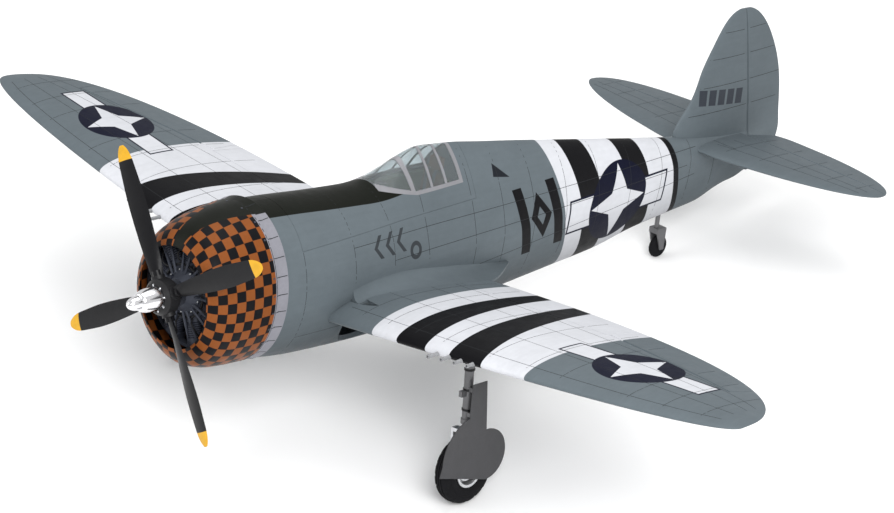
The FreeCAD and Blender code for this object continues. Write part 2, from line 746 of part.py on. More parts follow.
def frame_bands():
    """Canopy frame positions: windscreen foot and bow, hood bows, rear bow, sill rails."""
    bows = [(-352, -358), (-384, -388), (-409, -413), (-434, CANOPY_REAR)]
    bands = [box(a, b, -80, 80, SILL_Z - 2, 160) for a, b in bows]
    rail = prism([(CANOPY_FRONT + 2, SILL_Z + 9), (CANOPY_FRONT - 50, SILL_Z - 1),
                  (CANOPY_REAR, SILL_Z - 1), (CANOPY_REAR, SILL_Z + 4),
                  (CANOPY_FRONT - 50, SILL_Z + 4), (CANOPY_FRONT - 2, SILL_Z + 14)],
                 -80, 80)
    return bands[0].fuse(bands[1:] + [rail])


def hatch_parts(outer_hull, cavity):
    lid = outer_hull.common(hatch_room())
    canopy = lid.common(canopy_room())
    inner = hull_loft(GLASS_WALL, CAVITY_REAR)
    bubble = canopy.cut(inner)
    cover = lid.cut(canopy_room()).cut(cavity)
    bands = frame_bands()
    frame = bubble.common(bands)
    glass = bubble.cut(bands)
    opening = box(-322, -436, -27, 27, 20, 100)
    bulkhead = outer_hull.common(box(CANOPY_REAR, CANOPY_REAR - 3, -80, 80, HATCH_SPLIT_Z, 140))
    deck = one_solid(cover.cut(opening).fuse(bulkhead))
    return deck, one_solid(frame), glass


def cockpit_tub(cavity):
    """Open tub with a side deck that meets the hatch skin under the sill."""
    outer = box(-322, -436, -27, 27, 22, 62)
    inner = box(-324, -434, -25, 25, 24, 90)
    side_deck = cavity.common(box(-318, -439, -70, 70, 60, 62))
    return outer.fuse(side_deck).cut(inner)


def seat():
    pan = box(-392, -420, -15, 15, 26, 34)
    back = prism([(-416, 34), (-420, 34), (-427, 74), (-423, 74)], -15, 15)
    rest = prism([(-422, 76), (-430, 76), (-430, 90), (-424, 90)], -9, 9)
    post = box(-424, -428, -3, 3, 60, 80)
    return pan.fuse([back, post, rest])


def instrument_panel():
    face = Part.makeCylinder(24, 3, V(-330, 0, 44), V(-1, 0, 0)).common(box(-320, -340, -24, 24, 40, 66))
    sight = box(-330, -338, -5, 5, 66, 74)
    return face.fuse(sight)


# ---- undercarriage -------------------------------------------------------------------------------
def retract_unit():
    """Electric retract block with two cheeks and the trunnion pin through the leg."""
    block = box(-13, 13, -7, 7, 9, 20)
    cheeks = [box(-13, -8.5, -7, 7, -5, 9), box(8.5, 13, -7, 7, -5, 9)]
    pin = rod(V(-13, 0, 0), V(13, 0, 0), 2.0)
    return on_leg(block.fuse(cheeks + [pin]))


def leg_upper():
    """Pivot block, leg tube and its bracket stub."""
    block = box(-8, 8, -6, 6, -10, 5)
    tube = rod(V(0, 0, -10), V(0, 0, -LEG + 62), 5.5)
    collar = rod(V(0, 0, -LEG + 62), V(0, 0, -LEG + 56), 6.6)
    stub = box(5, 13, -2.5, 2.5, -62, -55)
    lugs = [box(-4, 4, 4, DOOR_Y, z, z + 5) for z in (-56, -LEG + 66)]
    bore = rod(V(0, 0, -LEG + 50), V(0, 0, -40), 3.55)
    pin_hole = rod(V(-20, 0, 0), V(20, 0, 0), 2.25)
    return on_leg(block.fuse([tube, collar, stub] + lugs).cut(bore).cut(pin_hole))


def leg_lower():
    """Sliding oleo piston, half fork over the wheel's inboard side and its axle."""
    w = MAIN_WHEEL_W / 2
    piston = rod(V(0, 0, -LEG + 46), V(0, 0, -LEG + 86), 3.5)
    bridge = box(-5, 5, -w - 6.0, 5, -LEG + 42.5, -LEG + 47)
    fork = box(-5, 5, -w - 6.0, -w - 2.5, -LEG - 6, -LEG + 47)
    axle = rod(V(0, -w - 4, -LEG), V(0, w + 1.0, -LEG), 2.0)
    return on_leg(piston.fuse([bridge, fork, axle]))


def main_wheel():
    w = MAIN_WHEEL_W / 2
    r = MAIN_WHEEL_R
    ring = Part.makeTorus(r - w, w, V(0, 0, -LEG), V(0, 1, 0))
    core = Part.makeCylinder(r - w, 2 * w, V(0, -w, -LEG), V(0, 1, 0))
    tyre = core.fuse(ring)
    hub_r = 20.0
    tyre = tyre.cut(Part.makeCylinder(hub_r, 60, V(0, -30, -LEG), V(0, 1, 0)))
    hub = Part.makeCylinder(hub_r, 2 * w - 3, V(0, -w + 1.5, -LEG), V(0, 1, 0))
    dish = Part.makeCone(17, 13, 4, V(0, w - 1.5, -LEG), V(0, -1, 0))
    dish_in = Part.makeCone(17, 13, 4, V(0, -w + 1.5, -LEG), V(0, 1, 0))
    boss = Part.makeCylinder(5, 2 * w - 1, V(0, -w + 0.5, -LEG), V(0, 1, 0))
    hub = hub.cut(dish).cut(dish_in).fuse(boss)
    hub = hub.cut(Part.makeCylinder(2.05, 60, V(0, -30, -LEG), V(0, 1, 0)))
    return on_leg(tyre), on_leg(hub)


def tail_fork():
    """Steered post with a one-piece fork."""
    x = TAIL_STEER_X
    half = TAIL_WHEEL_W / 2 + 1.0
    post = rod(V(x, 0, -88), V(x, 0, -40), 3.0)
    crown = box(x + 5, TAIL_AXLE.x - 4, -half - 2, half + 2, -95, -88)
    blades = []
    for s in (-1, 1):
        y0, y1 = s * half, s * (half + 2)
        profile = [(x + 5, -93), (TAIL_AXLE.x - 4, -93), (TAIL_AXLE.x - 3.5, TAIL_AXLE.z - 3),
                   (TAIL_AXLE.x + 3.5, TAIL_AXLE.z - 3)]
        blades.append(prism(profile, y0, y1))
    axle = rod(V(TAIL_AXLE.x, -half - 2, TAIL_AXLE.z), V(TAIL_AXLE.x, half + 2, TAIL_AXLE.z), 1.5)
    return post.fuse([crown, axle] + blades)


def tail_wheel():
    w = TAIL_WHEEL_W / 2
    ring = Part.makeTorus(TAIL_WHEEL_R - w, w, TAIL_AXLE, V(0, 1, 0))
    core = Part.makeCylinder(TAIL_WHEEL_R - w, 2 * w, TAIL_AXLE - V(0, w, 0), V(0, 1, 0))
    bore = Part.makeCylinder(1.55, 60, TAIL_AXLE - V(0, 30, 0), V(0, 1, 0))
    return core.fuse(ring).cut(bore)


# ---- fuselage inside -------------------------------------------------------------------------------
def equipment():
    """Plywood tray with the battery, speed controller and receiver on it."""
    items = {}
    tray_z = -34.0
    items["equipment_tray"] = box(-128, -345, -24, 24, tray_z - 3, tray_z)
    items["battery"] = box(-140, -270, -21, 21, tray_z + 0.2, tray_z + 30)
    band = box(-195, -215, -22.2, 22.2, tray_z + 0.2, tray_z + 31.2)
    items["battery_strap"] = band.cut(items["battery"])
    items["speed_controller"] = box(-135, -195, -15, 15, tray_z - 16, tray_z - 3.2)
    items["receiver"] = box(-290, -330, -12, 12, tray_z + 0.2, tray_z + 14)
    return items


def tail_servos():
    """Elevator and rudder servos side by side across the rear of the tray."""
    items = []
    for y in (-13.0, 13.0):
        body = box(-352, -375, y - 6, y + 6, -56, -34)
        boss = rod(V(-357, y, -34), V(-357, y, -30.5), 3.4)
        ears = box(-348, -379, y - 6, y + 6, -41, -39)
        arm = box(-355.5, -358.5, y - 12, y + 12, -30.5, -28.5)
        items.append(body.fuse([boss, ears, arm]))
    return Part.makeCompound(items)


def fuselage_parts(outer_hull, cavity, wing, stab, tools):
    shell = outer_hull.cut(cavity).cut(hatch_room(LID_GAP))
    shell = shell.cut(wing).cut(mirrored(wing)).cut(stab).cut(mirrored(stab))
    for tool in tools:
        shell = shell.cut(tool)
    halves = {}
    for name, sign in (("fuselage_left", 1), ("fuselage_right", -1)):
        side = box(-1100, 0, 0, sign * 200, -200, 200)
        halves[name] = one_solid(shell.common(side))
    return halves


def wing_screws():
    """Thumb screws through each root rib from inside the fuselage."""
    items = []
    for x in (-205.0, -350.0):
        for side in (1, -1):
            y = side * WING_ROOT_Y
            z = (wing_surface(x, WING_ROOT_Y, 1) + wing_surface(x, WING_ROOT_Y, -1)) / 2
            stem = rod(V(x, y - side * 4, z), V(x, y + side * 16, z), 1.5)
            head = rod(V(x, y - side * 6, z), V(x, y, z), 3.6)
            items.append(stem.fuse(head))
    return Part.makeCompound(items)


# ---- build everything --------------------------------------------------------------------------------
def both_sides(nodes, name, shape):
    nodes[name + "_left"] = shape
    nodes[name + "_right"] = mirrored(shape)


def build():
    nodes = {}
    outer_hull, cavity = hull(), hull_cavity()
    panel, flap, aileron = wing_parts()
    saddle = wing_blank(SADDLE_GAP)
    stab, elevator, fin, rudder = tail_parts(outer_hull)
    joiner = elevator_joiner()
    joiner_room = elevator_joiner(0.6)
    well = wheel_well()

    rf = rudder_frame()
    rudder_room = rf.put(slot_block(-60, 300))
    post_bore = rod(V(TAIL_STEER_X, 0, -120), V(TAIL_STEER_X, 0, -39), 3.05)
    tools = [well, mirrored(well), rudder_room, joiner_room, post_bore]
    nodes.update(fuselage_parts(outer_hull, cavity, saddle, stab, tools))

    bolts = wing_screws()
    panel = panel.cut(bolts)
    elevator = elevator.cut(joiner)
    fin = one_solid(fin.cut(stab).cut(mirrored(stab)).cut(joiner_room))
    both_sides(nodes, "wing_panel", panel)
    both_sides(nodes, "flap", flap)
    both_sides(nodes, "aileron", aileron)
    nodes["tailplane"] = one_solid(stab.fuse(mirrored(stab)).removeSplitter().cut(joiner_room))
    both_sides(nodes, "elevator", elevator)
    nodes["elevator_joiner"] = joiner
    nodes["fin"] = fin
    nodes["rudder"] = rudder
    nodes["wing_spar"] = spar_tube()
    nodes["wing_screws"] = bolts

    servos = []
    for kind in ("flap", "aileron"):
        pieces = linkage(kind)
        servos.append(pieces["servo"])
        both_sides(nodes, kind, nodes[kind + "_left"].fuse(pieces["horn"]).removeSplitter())
        both_sides(nodes, kind + "_arm", pieces["arm"])
        both_sides(nodes, kind + "_pushrod", pieces["pushrod"])
    nodes["wing_servos"] = Part.makeCompound(servos + [mirrored(s) for s in servos])
    nodes["tail_servos"] = tail_servos()

    deck, frame, glass = hatch_parts(outer_hull, cavity)
    nodes["hatch"] = deck
    nodes["canopy_frame"] = frame
    nodes["canopy_glass"] = glass
    nodes["cockpit_tub"] = cockpit_tub(cavity)
    nodes["seat"] = seat()
    nodes["instrument_panel"] = instrument_panel()

    nodes["cowl"] = cowl()
    nodes["engine_dummy"] = engine_dummy()
    nodes["firewall"] = cavity.common(box(-118, -122, -100, 100, -130, 130))
    nodes["motor_mount"] = motor_mount()
    nodes["motor_stator"] = motor_stator()
    nodes["motor_bell"] = motor_bell()
    nodes["prop_adapter"] = prop_adapter()
    nodes["prop_hub"] = prop_hub()
    nodes["spinner"] = spinner()
    nodes["blades"] = Part.makeCompound([blade(k) for k in range(BLADES)])
    nodes.update(equipment())

    unit = retract_unit()
    nodes["retract_units"] = Part.makeCompound([unit, mirrored(unit)])
    both_sides(nodes, "gear_leg", leg_upper())
    both_sides(nodes, "gear_door", leg_door())
    both_sides(nodes, "oleo", leg_lower())
    tyre, hub = main_wheel()
    both_sides(nodes, "tyre", tyre)
    both_sides(nodes, "wheel_hub", hub)
    nodes["tail_fork"] = tail_fork()
    nodes["tail_wheel"] = tail_wheel()
    return nodes


def main():
    os.makedirs("parts", exist_ok=True)
    nodes = build()
    for name, shape in nodes.items():
        placed = stand_on_wheels(shape)
        placed.exportStep("parts/" + name + ".step")
        b = placed.BoundBox
        print("%-24s solids %d valid %s vol %9.1f  x %.0f..%.0f y %.0f..%.0f z %.0f..%.0f" % (
            name, len(placed.Solids), placed.isValid(), placed.Volume,
            b.XMin, b.XMax, b.YMin, b.YMax, b.ZMin, b.ZMax))
    print(len(nodes), "nodes")


if __name__ == "__main__":
    main()
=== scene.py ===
import json
import math

import bmesh
import bpy
from mathutils import Matrix, Vector
from mathutils.bvhtree import BVHTree


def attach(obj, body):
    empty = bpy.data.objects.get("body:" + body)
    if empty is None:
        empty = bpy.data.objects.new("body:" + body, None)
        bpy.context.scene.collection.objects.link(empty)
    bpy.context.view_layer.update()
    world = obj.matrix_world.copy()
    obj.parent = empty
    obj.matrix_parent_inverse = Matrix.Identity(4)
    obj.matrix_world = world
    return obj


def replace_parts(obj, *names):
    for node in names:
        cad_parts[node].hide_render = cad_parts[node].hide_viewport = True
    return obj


# A radio controlled warbird.  Lengths are millimetres in the airframe frame (X forward, Y to port,
# Z up, origin on the thrust line in the propeller plane) until at() turns them into the row frame.

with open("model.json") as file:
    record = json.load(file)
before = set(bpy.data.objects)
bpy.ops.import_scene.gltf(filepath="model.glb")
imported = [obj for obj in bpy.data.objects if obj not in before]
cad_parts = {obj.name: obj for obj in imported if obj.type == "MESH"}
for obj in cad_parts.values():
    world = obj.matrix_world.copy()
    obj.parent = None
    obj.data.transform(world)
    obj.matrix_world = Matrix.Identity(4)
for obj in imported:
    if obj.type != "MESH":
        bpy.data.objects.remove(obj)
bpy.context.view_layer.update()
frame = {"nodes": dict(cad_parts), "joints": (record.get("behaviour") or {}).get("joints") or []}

SPIN = next(j for j in frame["joints"] if j["name"] == "propeller_spin")
FORWARD = Vector(SPIN["axis"]).normalized()
PORT = Vector((0.0, 1.0, 0.0))
UP = FORWARD.cross(PORT)
AIRFRAME = Matrix((FORWARD, PORT, UP)).transposed().to_4x4()
AIRFRAME.translation = Vector(SPIN["pos_m"])
PER_METRE = 1000.0


def at(x, y, z):
    """Row-frame point, in metres, of an airframe point in millimetres."""
    return AIRFRAME @ (Vector((x, y, z)) / PER_METRE)


def airframe(point):
    """Airframe point, in millimetres, of a row-frame point in metres."""
    return (AIRFRAME.inverted() @ Vector(point)) * PER_METRE


# ---- shader helpers --------------------------------------------------------------------------
class Num:
    """A number in a shader, so that a mask can be written as an ordinary sum."""

    def __init__(self, tree, socket):
        self.tree = tree
        self.socket = socket

    def math(self, operation, *others, clamp=False):
        node = self.tree.nodes.new("ShaderNodeMath")
        node.operation = operation
        node.use_clamp = clamp
        for socket, value in zip(node.inputs, (self, *others)):
            if isinstance(value, Num):
                self.tree.links.new(value.socket, socket)
            else:
                socket.default_value = value
        return Num(self.tree, node.outputs[0])

    def __add__(self, other):
        return self.math("ADD", other)

    def __sub__(self, other):
        return self.math("SUBTRACT", other)

    def __mul__(self, other):
        return self.math("MULTIPLY", other)

    def abs(self):
        return self.math("ABSOLUTE")

    def sin(self):
        return self.math("SINE")

    def sqrt(self):
        return self.math("SQRT")

    def min(self, other):
        return self.math("MINIMUM", other)

    def max(self, other):
        return self.math("MAXIMUM", other)

    def flip(self):
        return self * -1.0 + 1.0


EDGE = 0.35         # width of a painted edge


def inside(distance):
    """1 where a signed distance in millimetres is positive, with a painted edge."""
    return (distance * (1 / EDGE)).math("ADD", 0.5, clamp=True)


def between(value, low, high):
    return inside(value - low) * inside(value * -1.0 + high)


class Finish:
    """A principled material whose colour, roughness and relief are built up in layers."""

    def __init__(self, name, colour, roughness=0.5, metallic=0.0, coat=0.0, specular=0.5):
        self.material = bpy.data.materials.new(name)
        self.material.use_nodes = True
        self.tree = self.material.node_tree
        self.shader = self.tree.nodes["Principled BSDF"]
        self.shader.inputs["Metallic"].default_value = metallic
        self.shader.inputs["Coat Weight"].default_value = coat
        self.shader.inputs["Coat Roughness"].default_value = 0.12
        self.shader.inputs["Specular IOR Level"].default_value = specular
        self.shader.inputs["Roughness"].default_value = roughness
        self.rough = roughness
        base = self.tree.nodes.new("ShaderNodeRGB")
        base.outputs[0].default_value = (*colour, 1.0)
        self.colour = base.outputs[0]
        self.heights = []
        coordinates = self.tree.nodes.new("ShaderNodeTexCoord")
        mapping = self.tree.nodes.new("ShaderNodeMapping")
        to_airframe = AIRFRAME.inverted()
        mapping.inputs["Scale"].default_value = (PER_METRE,) * 3
        mapping.inputs["Rotation"].default_value = to_airframe.to_euler()
        mapping.inputs["Location"].default_value = to_airframe.translation * PER_METRE
        self.link(coordinates.outputs["Object"], mapping.inputs["Vector"])
        self.place = mapping.outputs["Vector"]
        split = self.tree.nodes.new("ShaderNodeSeparateXYZ")
        self.link(self.place, split.inputs[0])
        self.x, self.y, self.z = (Num(self.tree, out) for out in split.outputs)

    def link(self, a, b):
        self.tree.links.new(a, b)

    def noise(self, size, detail=3.0, stretch=(1, 1, 1), roughness=0.55):
        """Noise from 0 to 1 whose features are about size millimetres."""
        node = self.tree.nodes.new("ShaderNodeTexNoise")
        node.inputs["Scale"].default_value = 1.0 / size
        node.inputs["Detail"].default_value = detail
        node.inputs["Roughness"].default_value = roughness
        vector = self.place
        if stretch != (1, 1, 1):
            mapping = self.tree.nodes.new("ShaderNodeMapping")
            mapping.inputs["Scale"].default_value = stretch
            self.link(self.place, mapping.inputs["Vector"])
            vector = mapping.outputs[0]
        self.link(vector, node.inputs["Vector"])
        return Num(self.tree, node.outputs["Fac"])

    def cells(self, size):
        """Distance from the nearest cell centre, 0 to about 1."""
        node = self.tree.nodes.new("ShaderNodeTexVoronoi")
        node.inputs["Scale"].default_value = 1.0 / size
        self.link(self.place, node.inputs["Vector"])
        return Num(self.tree, node.outputs["Distance"])

    def paint(self, mask, colour):
        """Lays a colour where the mask is 1."""
        mix = self.tree.nodes.new("ShaderNodeMix")
        mix.data_type = "RGBA"
        self.link(mask.socket, mix.inputs[0])
        self.link(self.colour, mix.inputs[6])
        mix.inputs[7].default_value = (*colour, 1.0)
        self.colour = mix.outputs[2]

    def shade(self, amount, low, high):
        """Multiplies the colour by low to high as amount goes from 0 to 1."""
        factor = amount * (high - low) + low
        combine = self.tree.nodes.new("ShaderNodeCombineXYZ")
        for socket in combine.inputs:
            self.link(factor.socket, socket)
        mix = self.tree.nodes.new("ShaderNodeMix")
        mix.data_type = "RGBA"
        mix.blend_type = "MULTIPLY"
        mix.inputs[0].default_value = 1.0
        self.link(self.colour, mix.inputs[6])
        self.link(combine.outputs[0], mix.inputs[7])
        self.colour = mix.outputs[2]

    def relief(self, height, depth):
        """Adds a bump whose full height is depth millimetres."""
        self.heights.append((height, depth))

    def finish(self, rough_noise=None, spread=0.15):
        self.link(self.colour, self.shader.inputs["Base Color"])
        if rough_noise is not None:
            varied = rough_noise * spread + (self.rough - spread / 2)
            self.link(varied.socket, self.shader.inputs["Roughness"])
        normal = None
        for height, depth in self.heights:
            bump = self.tree.nodes.new("ShaderNodeBump")
            bump.inputs["Distance"].default_value = depth / PER_METRE
            bump.inputs["Strength"].default_value = 1.0
            self.link(height.socket, bump.inputs["Height"])
            if normal is not None:
                self.link(normal, bump.inputs["Normal"])
            normal = bump.outputs[0]
        if normal is not None:
            self.link(normal, self.shader.inputs["Normal"])
        return self.material


# ---- colours (linear) ------------------------------------------------------------------------
SILVER = (0.100, 0.120, 0.133)
WHITE = (0.52, 0.53, 0.56)
BLACK = (0.004, 0.004, 0.005)
OLIVE_BLACK = (0.006, 0.007, 0.005)
ORANGE = (0.190, 0.056, 0.013)
INSIGNIA_BLUE = (0.002, 0.003, 0.014)
BAND_GREY = (0.20, 0.20, 0.225)
YELLOW = (0.55, 0.30, 0.02)


# ---- livery ----------------------------------------------------------------------------------
def moulded_foam(name):
    """Silver-painted moulded foam: fine bead texture under the paint; its tone is laid on later."""
    f = Finish(name, SILVER, roughness=0.46, metallic=0.02, specular=0.06)
    f.relief(f.cells(2.6), 0.05)
    f.relief(f.noise(0.7, 2.0), 0.02)
    return f


def weathered(f):
    """Tone and grime that lie over the whole livery."""
    f.shade(f.noise(60.0, 3.0), 0.90, 1.10)
    f.shade(f.noise(9.0, 5.0), 0.94, 1.06)
    streaks = f.noise(5.0, 4.0, stretch=(0.12, 1.0, 1.0))
    f.shade(streaks, 0.93, 1.06)
    return f.finish(f.noise(14.0, 4.0), 0.22)


def star_mask(u, v, radius, waist):
    """Four-pointed star: straight edges from each tip to a waist point on the diagonal.

    waist is how far the waist point lies along u, and along v.
    """
    a = u.abs().max(v.abs())
    b = u.abs().min(v.abs())
    norm = math.hypot(waist, radius - waist)
    reach = a * (-waist / norm) + (b * (-(radius - waist) / norm))
    return inside(reach + waist * radius / norm)


def emblem(f, u, v, radius, bar_start, bar_end, bar_half, where=None):
    """Dark disc with a four-pointed star and a plain outlined bar each side."""
    rim = 2.6
    disc = inside((u * u + v * v).sqrt() * -1.0 + radius)
    outer = inside(u.abs() * -1.0 + bar_end + rim) * inside(v.abs() * -1.0 + bar_half + rim)
    bars = between(u.abs(), bar_start, bar_end) * inside(v.abs() * -1.0 + bar_half)
    layers = [(disc.max(outer), INSIGNIA_BLUE), (bars * disc.flip(), WHITE),
              (star_mask(u, v, radius * 0.94, radius * 0.27), WHITE)]
    for mask, colour in layers:
        f.paint(mask if where is None else mask * where, colour)


# x of the fuselage stripe edges on the thrust line, from the front
FUSELAGE_BANDS = (-620.0, -654.0, -698.0, -753.0, -797.0, -850.0, -861.0)
BAND_SLOPE = 0.27           # the bands lean with the rear fuselage
GLARE_HALF = 33.0           # half width of the anti-glare panel
GLARE_REAR = -360.0
EMBLEM_X, EMBLEM_Z = -733.0, -15.0
EMBLEM_R, EMBLEM_LONG = 52.0, 59.0      # half height and half length of the disc
CODE_TOP, CODE_LOW = 42.0, -36.0
BELLY_SHADE_Z, BELLY_SHADE_FADE = -78.0, 60.0       # where the painted shade on the belly starts, and how far up it fades


def code_blocks(f):
    """Plain mark on the side: two uprights with an open diamond between them."""
    lean = f.x - f.z * BAND_SLOPE
    upright = between(f.z, CODE_LOW - 8, CODE_TOP)
    mask = (between(lean, -550, -533) * upright).max(between(lean, -614, -597) * upright)
    diamond = (lean + 574).abs() * 1.5 + (f.z - 2).abs()
    mask = mask.max(inside(diamond * -1.0 + 30) * inside(diamond - 12))
    f.paint(mask * inside(f.y.abs() - 25), BLACK)


def nose_marks(f):
    """Three small chevrons and a ring below the windscreen."""
    side = inside(f.y.abs() - 30)
    ring = ((f.x + 338) * (f.x + 338) + (f.z - 10) * (f.z - 10)).sqrt()
    mask = between(ring, 5.5, 10.5)
    for centre in (-268.0, -288.0, -308.0):
        bent = (f.x - centre) + (f.z - 26).abs() * 0.8
        mask = mask.max(between(bent, -3.0, 3.0) * inside((f.z - 26).abs() * -1.0 + 13))
    f.paint(mask * side, (0.035, 0.04, 0.045))


def quarter_window(f):
    """Dark triangular window behind the hood."""
    upper = inside((f.x + 498) * 0.605 - (f.z - 76) * 0.796)
    lower = inside((f.z - 57) * 0.986 - (f.x + 523) * 0.170)
    ahead = inside((f.x + 494) * -0.962 - (f.z - 62) * 0.275)
    f.paint(upper * lower * ahead * inside(f.y.abs() - 15), (0.012, 0.014, 0.018))


def fuselage_paint():
    f = moulded_foam("fuselage_paint")
    lean = f.x - f.z * BAND_SLOPE
    edges = FUSELAGE_BANDS
    for i, colour in enumerate((WHITE, BLACK, WHITE, BLACK, WHITE, BLACK)):
        f.paint(between(lean, edges[i + 1], edges[i]), colour)
    code_blocks(f)
    nose_marks(f)
    quarter_window(f)
    stretch = EMBLEM_LONG / EMBLEM_R
    emblem(f, (f.x - EMBLEM_X) * (1 / stretch), f.z - EMBLEM_Z, EMBLEM_R, 37.0, 88.0, 20.0,
           where=inside(f.y.abs() - 6))
    glare = inside(f.y.abs() * -1.0 + GLARE_HALF) * inside(f.x - GLARE_REAR) * inside(f.z - 40)
    f.paint(glare, OLIVE_BLACK)
    # painted shade: the colour darkens towards the belly, standing in for the light that falls from above
    f.shade(((f.z - BELLY_SHADE_Z) * (1 / BELLY_SHADE_FADE)).math("ADD", 0.0, clamp=True), 0.62, 1.0)
    return weathered(f)


# wing stripe edges: distance from the centre line at the leading and at the trailing edge
WING_BANDS = ((137, 123.5), (174.5, 167.5), (217, 191), (252.5, 228), (299, 256), (359, 357))
WING_LEAD, WING_TRAIL = -205.0, -440.0
WING_EMBLEM = (-310.0, 441.0)
WING_MID_Z, DIHEDRAL = -52.3, 0.112


def wing_paint():
    f = moulded_foam("wing_paint")
    span = f.y.abs()
    back = (f.x - WING_LEAD) * (1 / (WING_TRAIL - WING_LEAD))
    edges = []
    for front, rear in WING_BANDS:
        edges.append(span - (back * (rear - front) + front))
    for i, colour in enumerate((WHITE, BLACK, WHITE, BLACK, WHITE)):
        f.paint(inside(edges[i]) * inside(edges[i + 1] * -1.0), colour)
    upper = inside(f.z - WING_MID_Z - span * DIHEDRAL)
    u = span - WING_EMBLEM[1]
    v = f.x - WING_EMBLEM[0] + u * 0.08
    emblem(f, u, v, 50.0, 36.0, 94.0, 17.0, where=upper)
    return weathered(f)


def tail_paint():
    f = moulded_foam("tail_paint")
    level = f.z - 78.5 - (f.x + 948) * 0.10
    bar = between(f.x, -993, -903) * inside(level.abs() * -1.0 + 10.5)
    ticks = inside(((f.x * (math.pi / 9.0)).sin() + 0.72) * 2.0)
    f.paint(bar * ticks * inside(f.z - 40), (0.035, 0.04, 0.05))
    return weathered(f)


CHECK = 13.2                # side of one square of the checked cowl
COWL_HALF, COWL_TALL, COWL_MID = 80.0, 96.0, -2.0
COWL_MEAN_R = 86.0
CHECK_REAR = -99.0


def cowl_paint():
    f = Finish("cowl_paint", BLACK, roughness=0.40, specular=0.08)
    around = f.y.math("ARCTAN2", f.z - COWL_MID)
    count = round(2 * math.pi * COWL_MEAN_R / CHECK / 2) * 2
    ring = ((f.y * (1 / COWL_HALF)) * (f.y * (1 / COWL_HALF))
            + ((f.z - COWL_MID) * (1 / COWL_TALL)) * ((f.z - COWL_MID) * (1 / COWL_TALL))).sqrt()
    lip = (ring * -COWL_MEAN_R + COWL_MEAN_R).max(0.0)
    along = f.x * -1.0 - lip * 0.6
    product = (around * (count / 2)).sin() * (along * (math.pi / CHECK)).sin()
    f.paint(inside(product * 8.0), ORANGE)
    f.paint(inside(f.x * -1.0 + CHECK_REAR), BAND_GREY)
    glare = inside(f.y.abs() * -1.0 + 27.0 + (f.x + 104) * -0.22) * inside(f.z - 40)
    f.paint(glare, OLIVE_BLACK)
    f.shade(f.noise(30.0, 3.0), 0.86, 1.12)
    f.shade(f.noise(3.0, 5.0), 0.88, 1.08)
    f.relief(f.noise(1.2, 3.0), 0.02)
    return f.finish(f.noise(8.0, 4.0), 0.25)


# ---- plain finishes --------------------------------------------------------------------------
def moulded(name, colour, roughness=0.45, tone=0.1, grain=0.02, metallic=0.0):
    """Injection-moulded plastic with a light spark texture and handling marks."""
    f = Finish(name, colour, roughness, metallic, specular=0.2)
    f.shade(f.noise(12.0, 4.0), 1 - tone, 1 + tone)
    f.shade(f.noise(1.5, 3.0), 1 - tone / 2, 1 + tone / 2)
    f.relief(f.noise(0.35, 2.0), grain)
    return f.finish(f.noise(5.0, 4.0), 0.2)


def machined(name, colour, roughness, brush):
    """Turned or drawn metal with fine tool marks along one direction."""
    f = Finish(name, colour, roughness, metallic=1.0)
    f.shade(f.noise(8.0, 4.0), 0.88, 1.10)
    f.relief(f.noise(0.4, 3.0, stretch=brush), 0.006)
    return f.finish(f.noise(1.2, 4.0, stretch=brush), 0.22)


YELLOW_TIP_R = 158.5


def propeller_paint():
    f = Finish("propeller_paint", (0.005, 0.005, 0.006), roughness=0.36, specular=0.15)
    reach = (f.y * f.y + f.z * f.z).sqrt()
    f.paint(inside(reach - YELLOW_TIP_R), YELLOW)
    f.shade(f.noise(10.0, 4.0), 0.8, 1.25)
    f.relief(f.noise(0.8, 3.0), 0.012)
    return f.finish(f.noise(6.0, 4.0), 0.2)


def tyre_rubber():
    f = Finish("tyre_rubber", (0.005, 0.005, 0.006), roughness=0.72, specular=0.10)
    f.shade(f.noise(6.0, 5.0), 0.75, 1.5)
    f.paint(inside((f.noise(2.0, 4.0) - 0.70) * 8.0), (0.025, 0.024, 0.022))
    f.relief(f.noise(0.5, 3.0), 0.05)
    return f.finish(f.noise(3.0, 4.0), 0.2)


def carbon_tube():
    """Twill carbon: two sets of tows crossing at right angles."""
    f = Finish("carbon", (0.012, 0.012, 0.013), roughness=0.3, coat=0.8)
    weave = ((f.x + f.y) * 2.1).sin() * ((f.x - f.y) * 2.1).sin()
    f.paint(inside(weave * 0.3), (0.04, 0.041, 0.044))
    f.relief(weave, 0.02)
    return f.finish(f.noise(4.0, 2.0), 0.1)


def plywood():
    f = Finish("plywood", (0.50, 0.34, 0.19), roughness=0.62)
    f.shade(f.noise(3.0, 6.0, stretch=(0.08, 1.0, 1.0)), 0.72, 1.2)
    f.paint(inside((f.z * 2.4).sin() * 0.4 - 0.2), (0.30, 0.19, 0.10))
    f.relief(f.noise(1.0, 4.0, stretch=(0.1, 1.0, 1.0)), 0.04)
    return f.finish(f.noise(5.0, 3.0), 0.15)


def webbing():
    f = Finish("webbing", (0.03, 0.03, 0.033), roughness=0.85)
    weave = (f.x * 4.2).sin() * (f.y * 4.2).sin()
    f.shade(weave * 0.5 + 0.5, 0.6, 1.5)
    f.relief(weave, 0.12)
    f.shader.inputs["Sheen Weight"].default_value = 0.4
    return f.finish(f.noise(4.0, 3.0), 0.1)


def shrink_wrap():
    """Battery sleeve: glossy wrap with one plain stripe and a soft crinkle."""
    f = Finish("shrink_wrap", (0.02, 0.07, 0.22), roughness=0.28, coat=0.5)
    f.paint(between(f.x, -176, -160), (0.75, 0.76, 0.78))
    f.relief(f.noise(6.0, 4.0, stretch=(1.0, 0.3, 1.0)), 0.25)
    f.shade(f.noise(20.0, 3.0), 0.85, 1.12)
    return f.finish(f.noise(7.0, 4.0), 0.15)


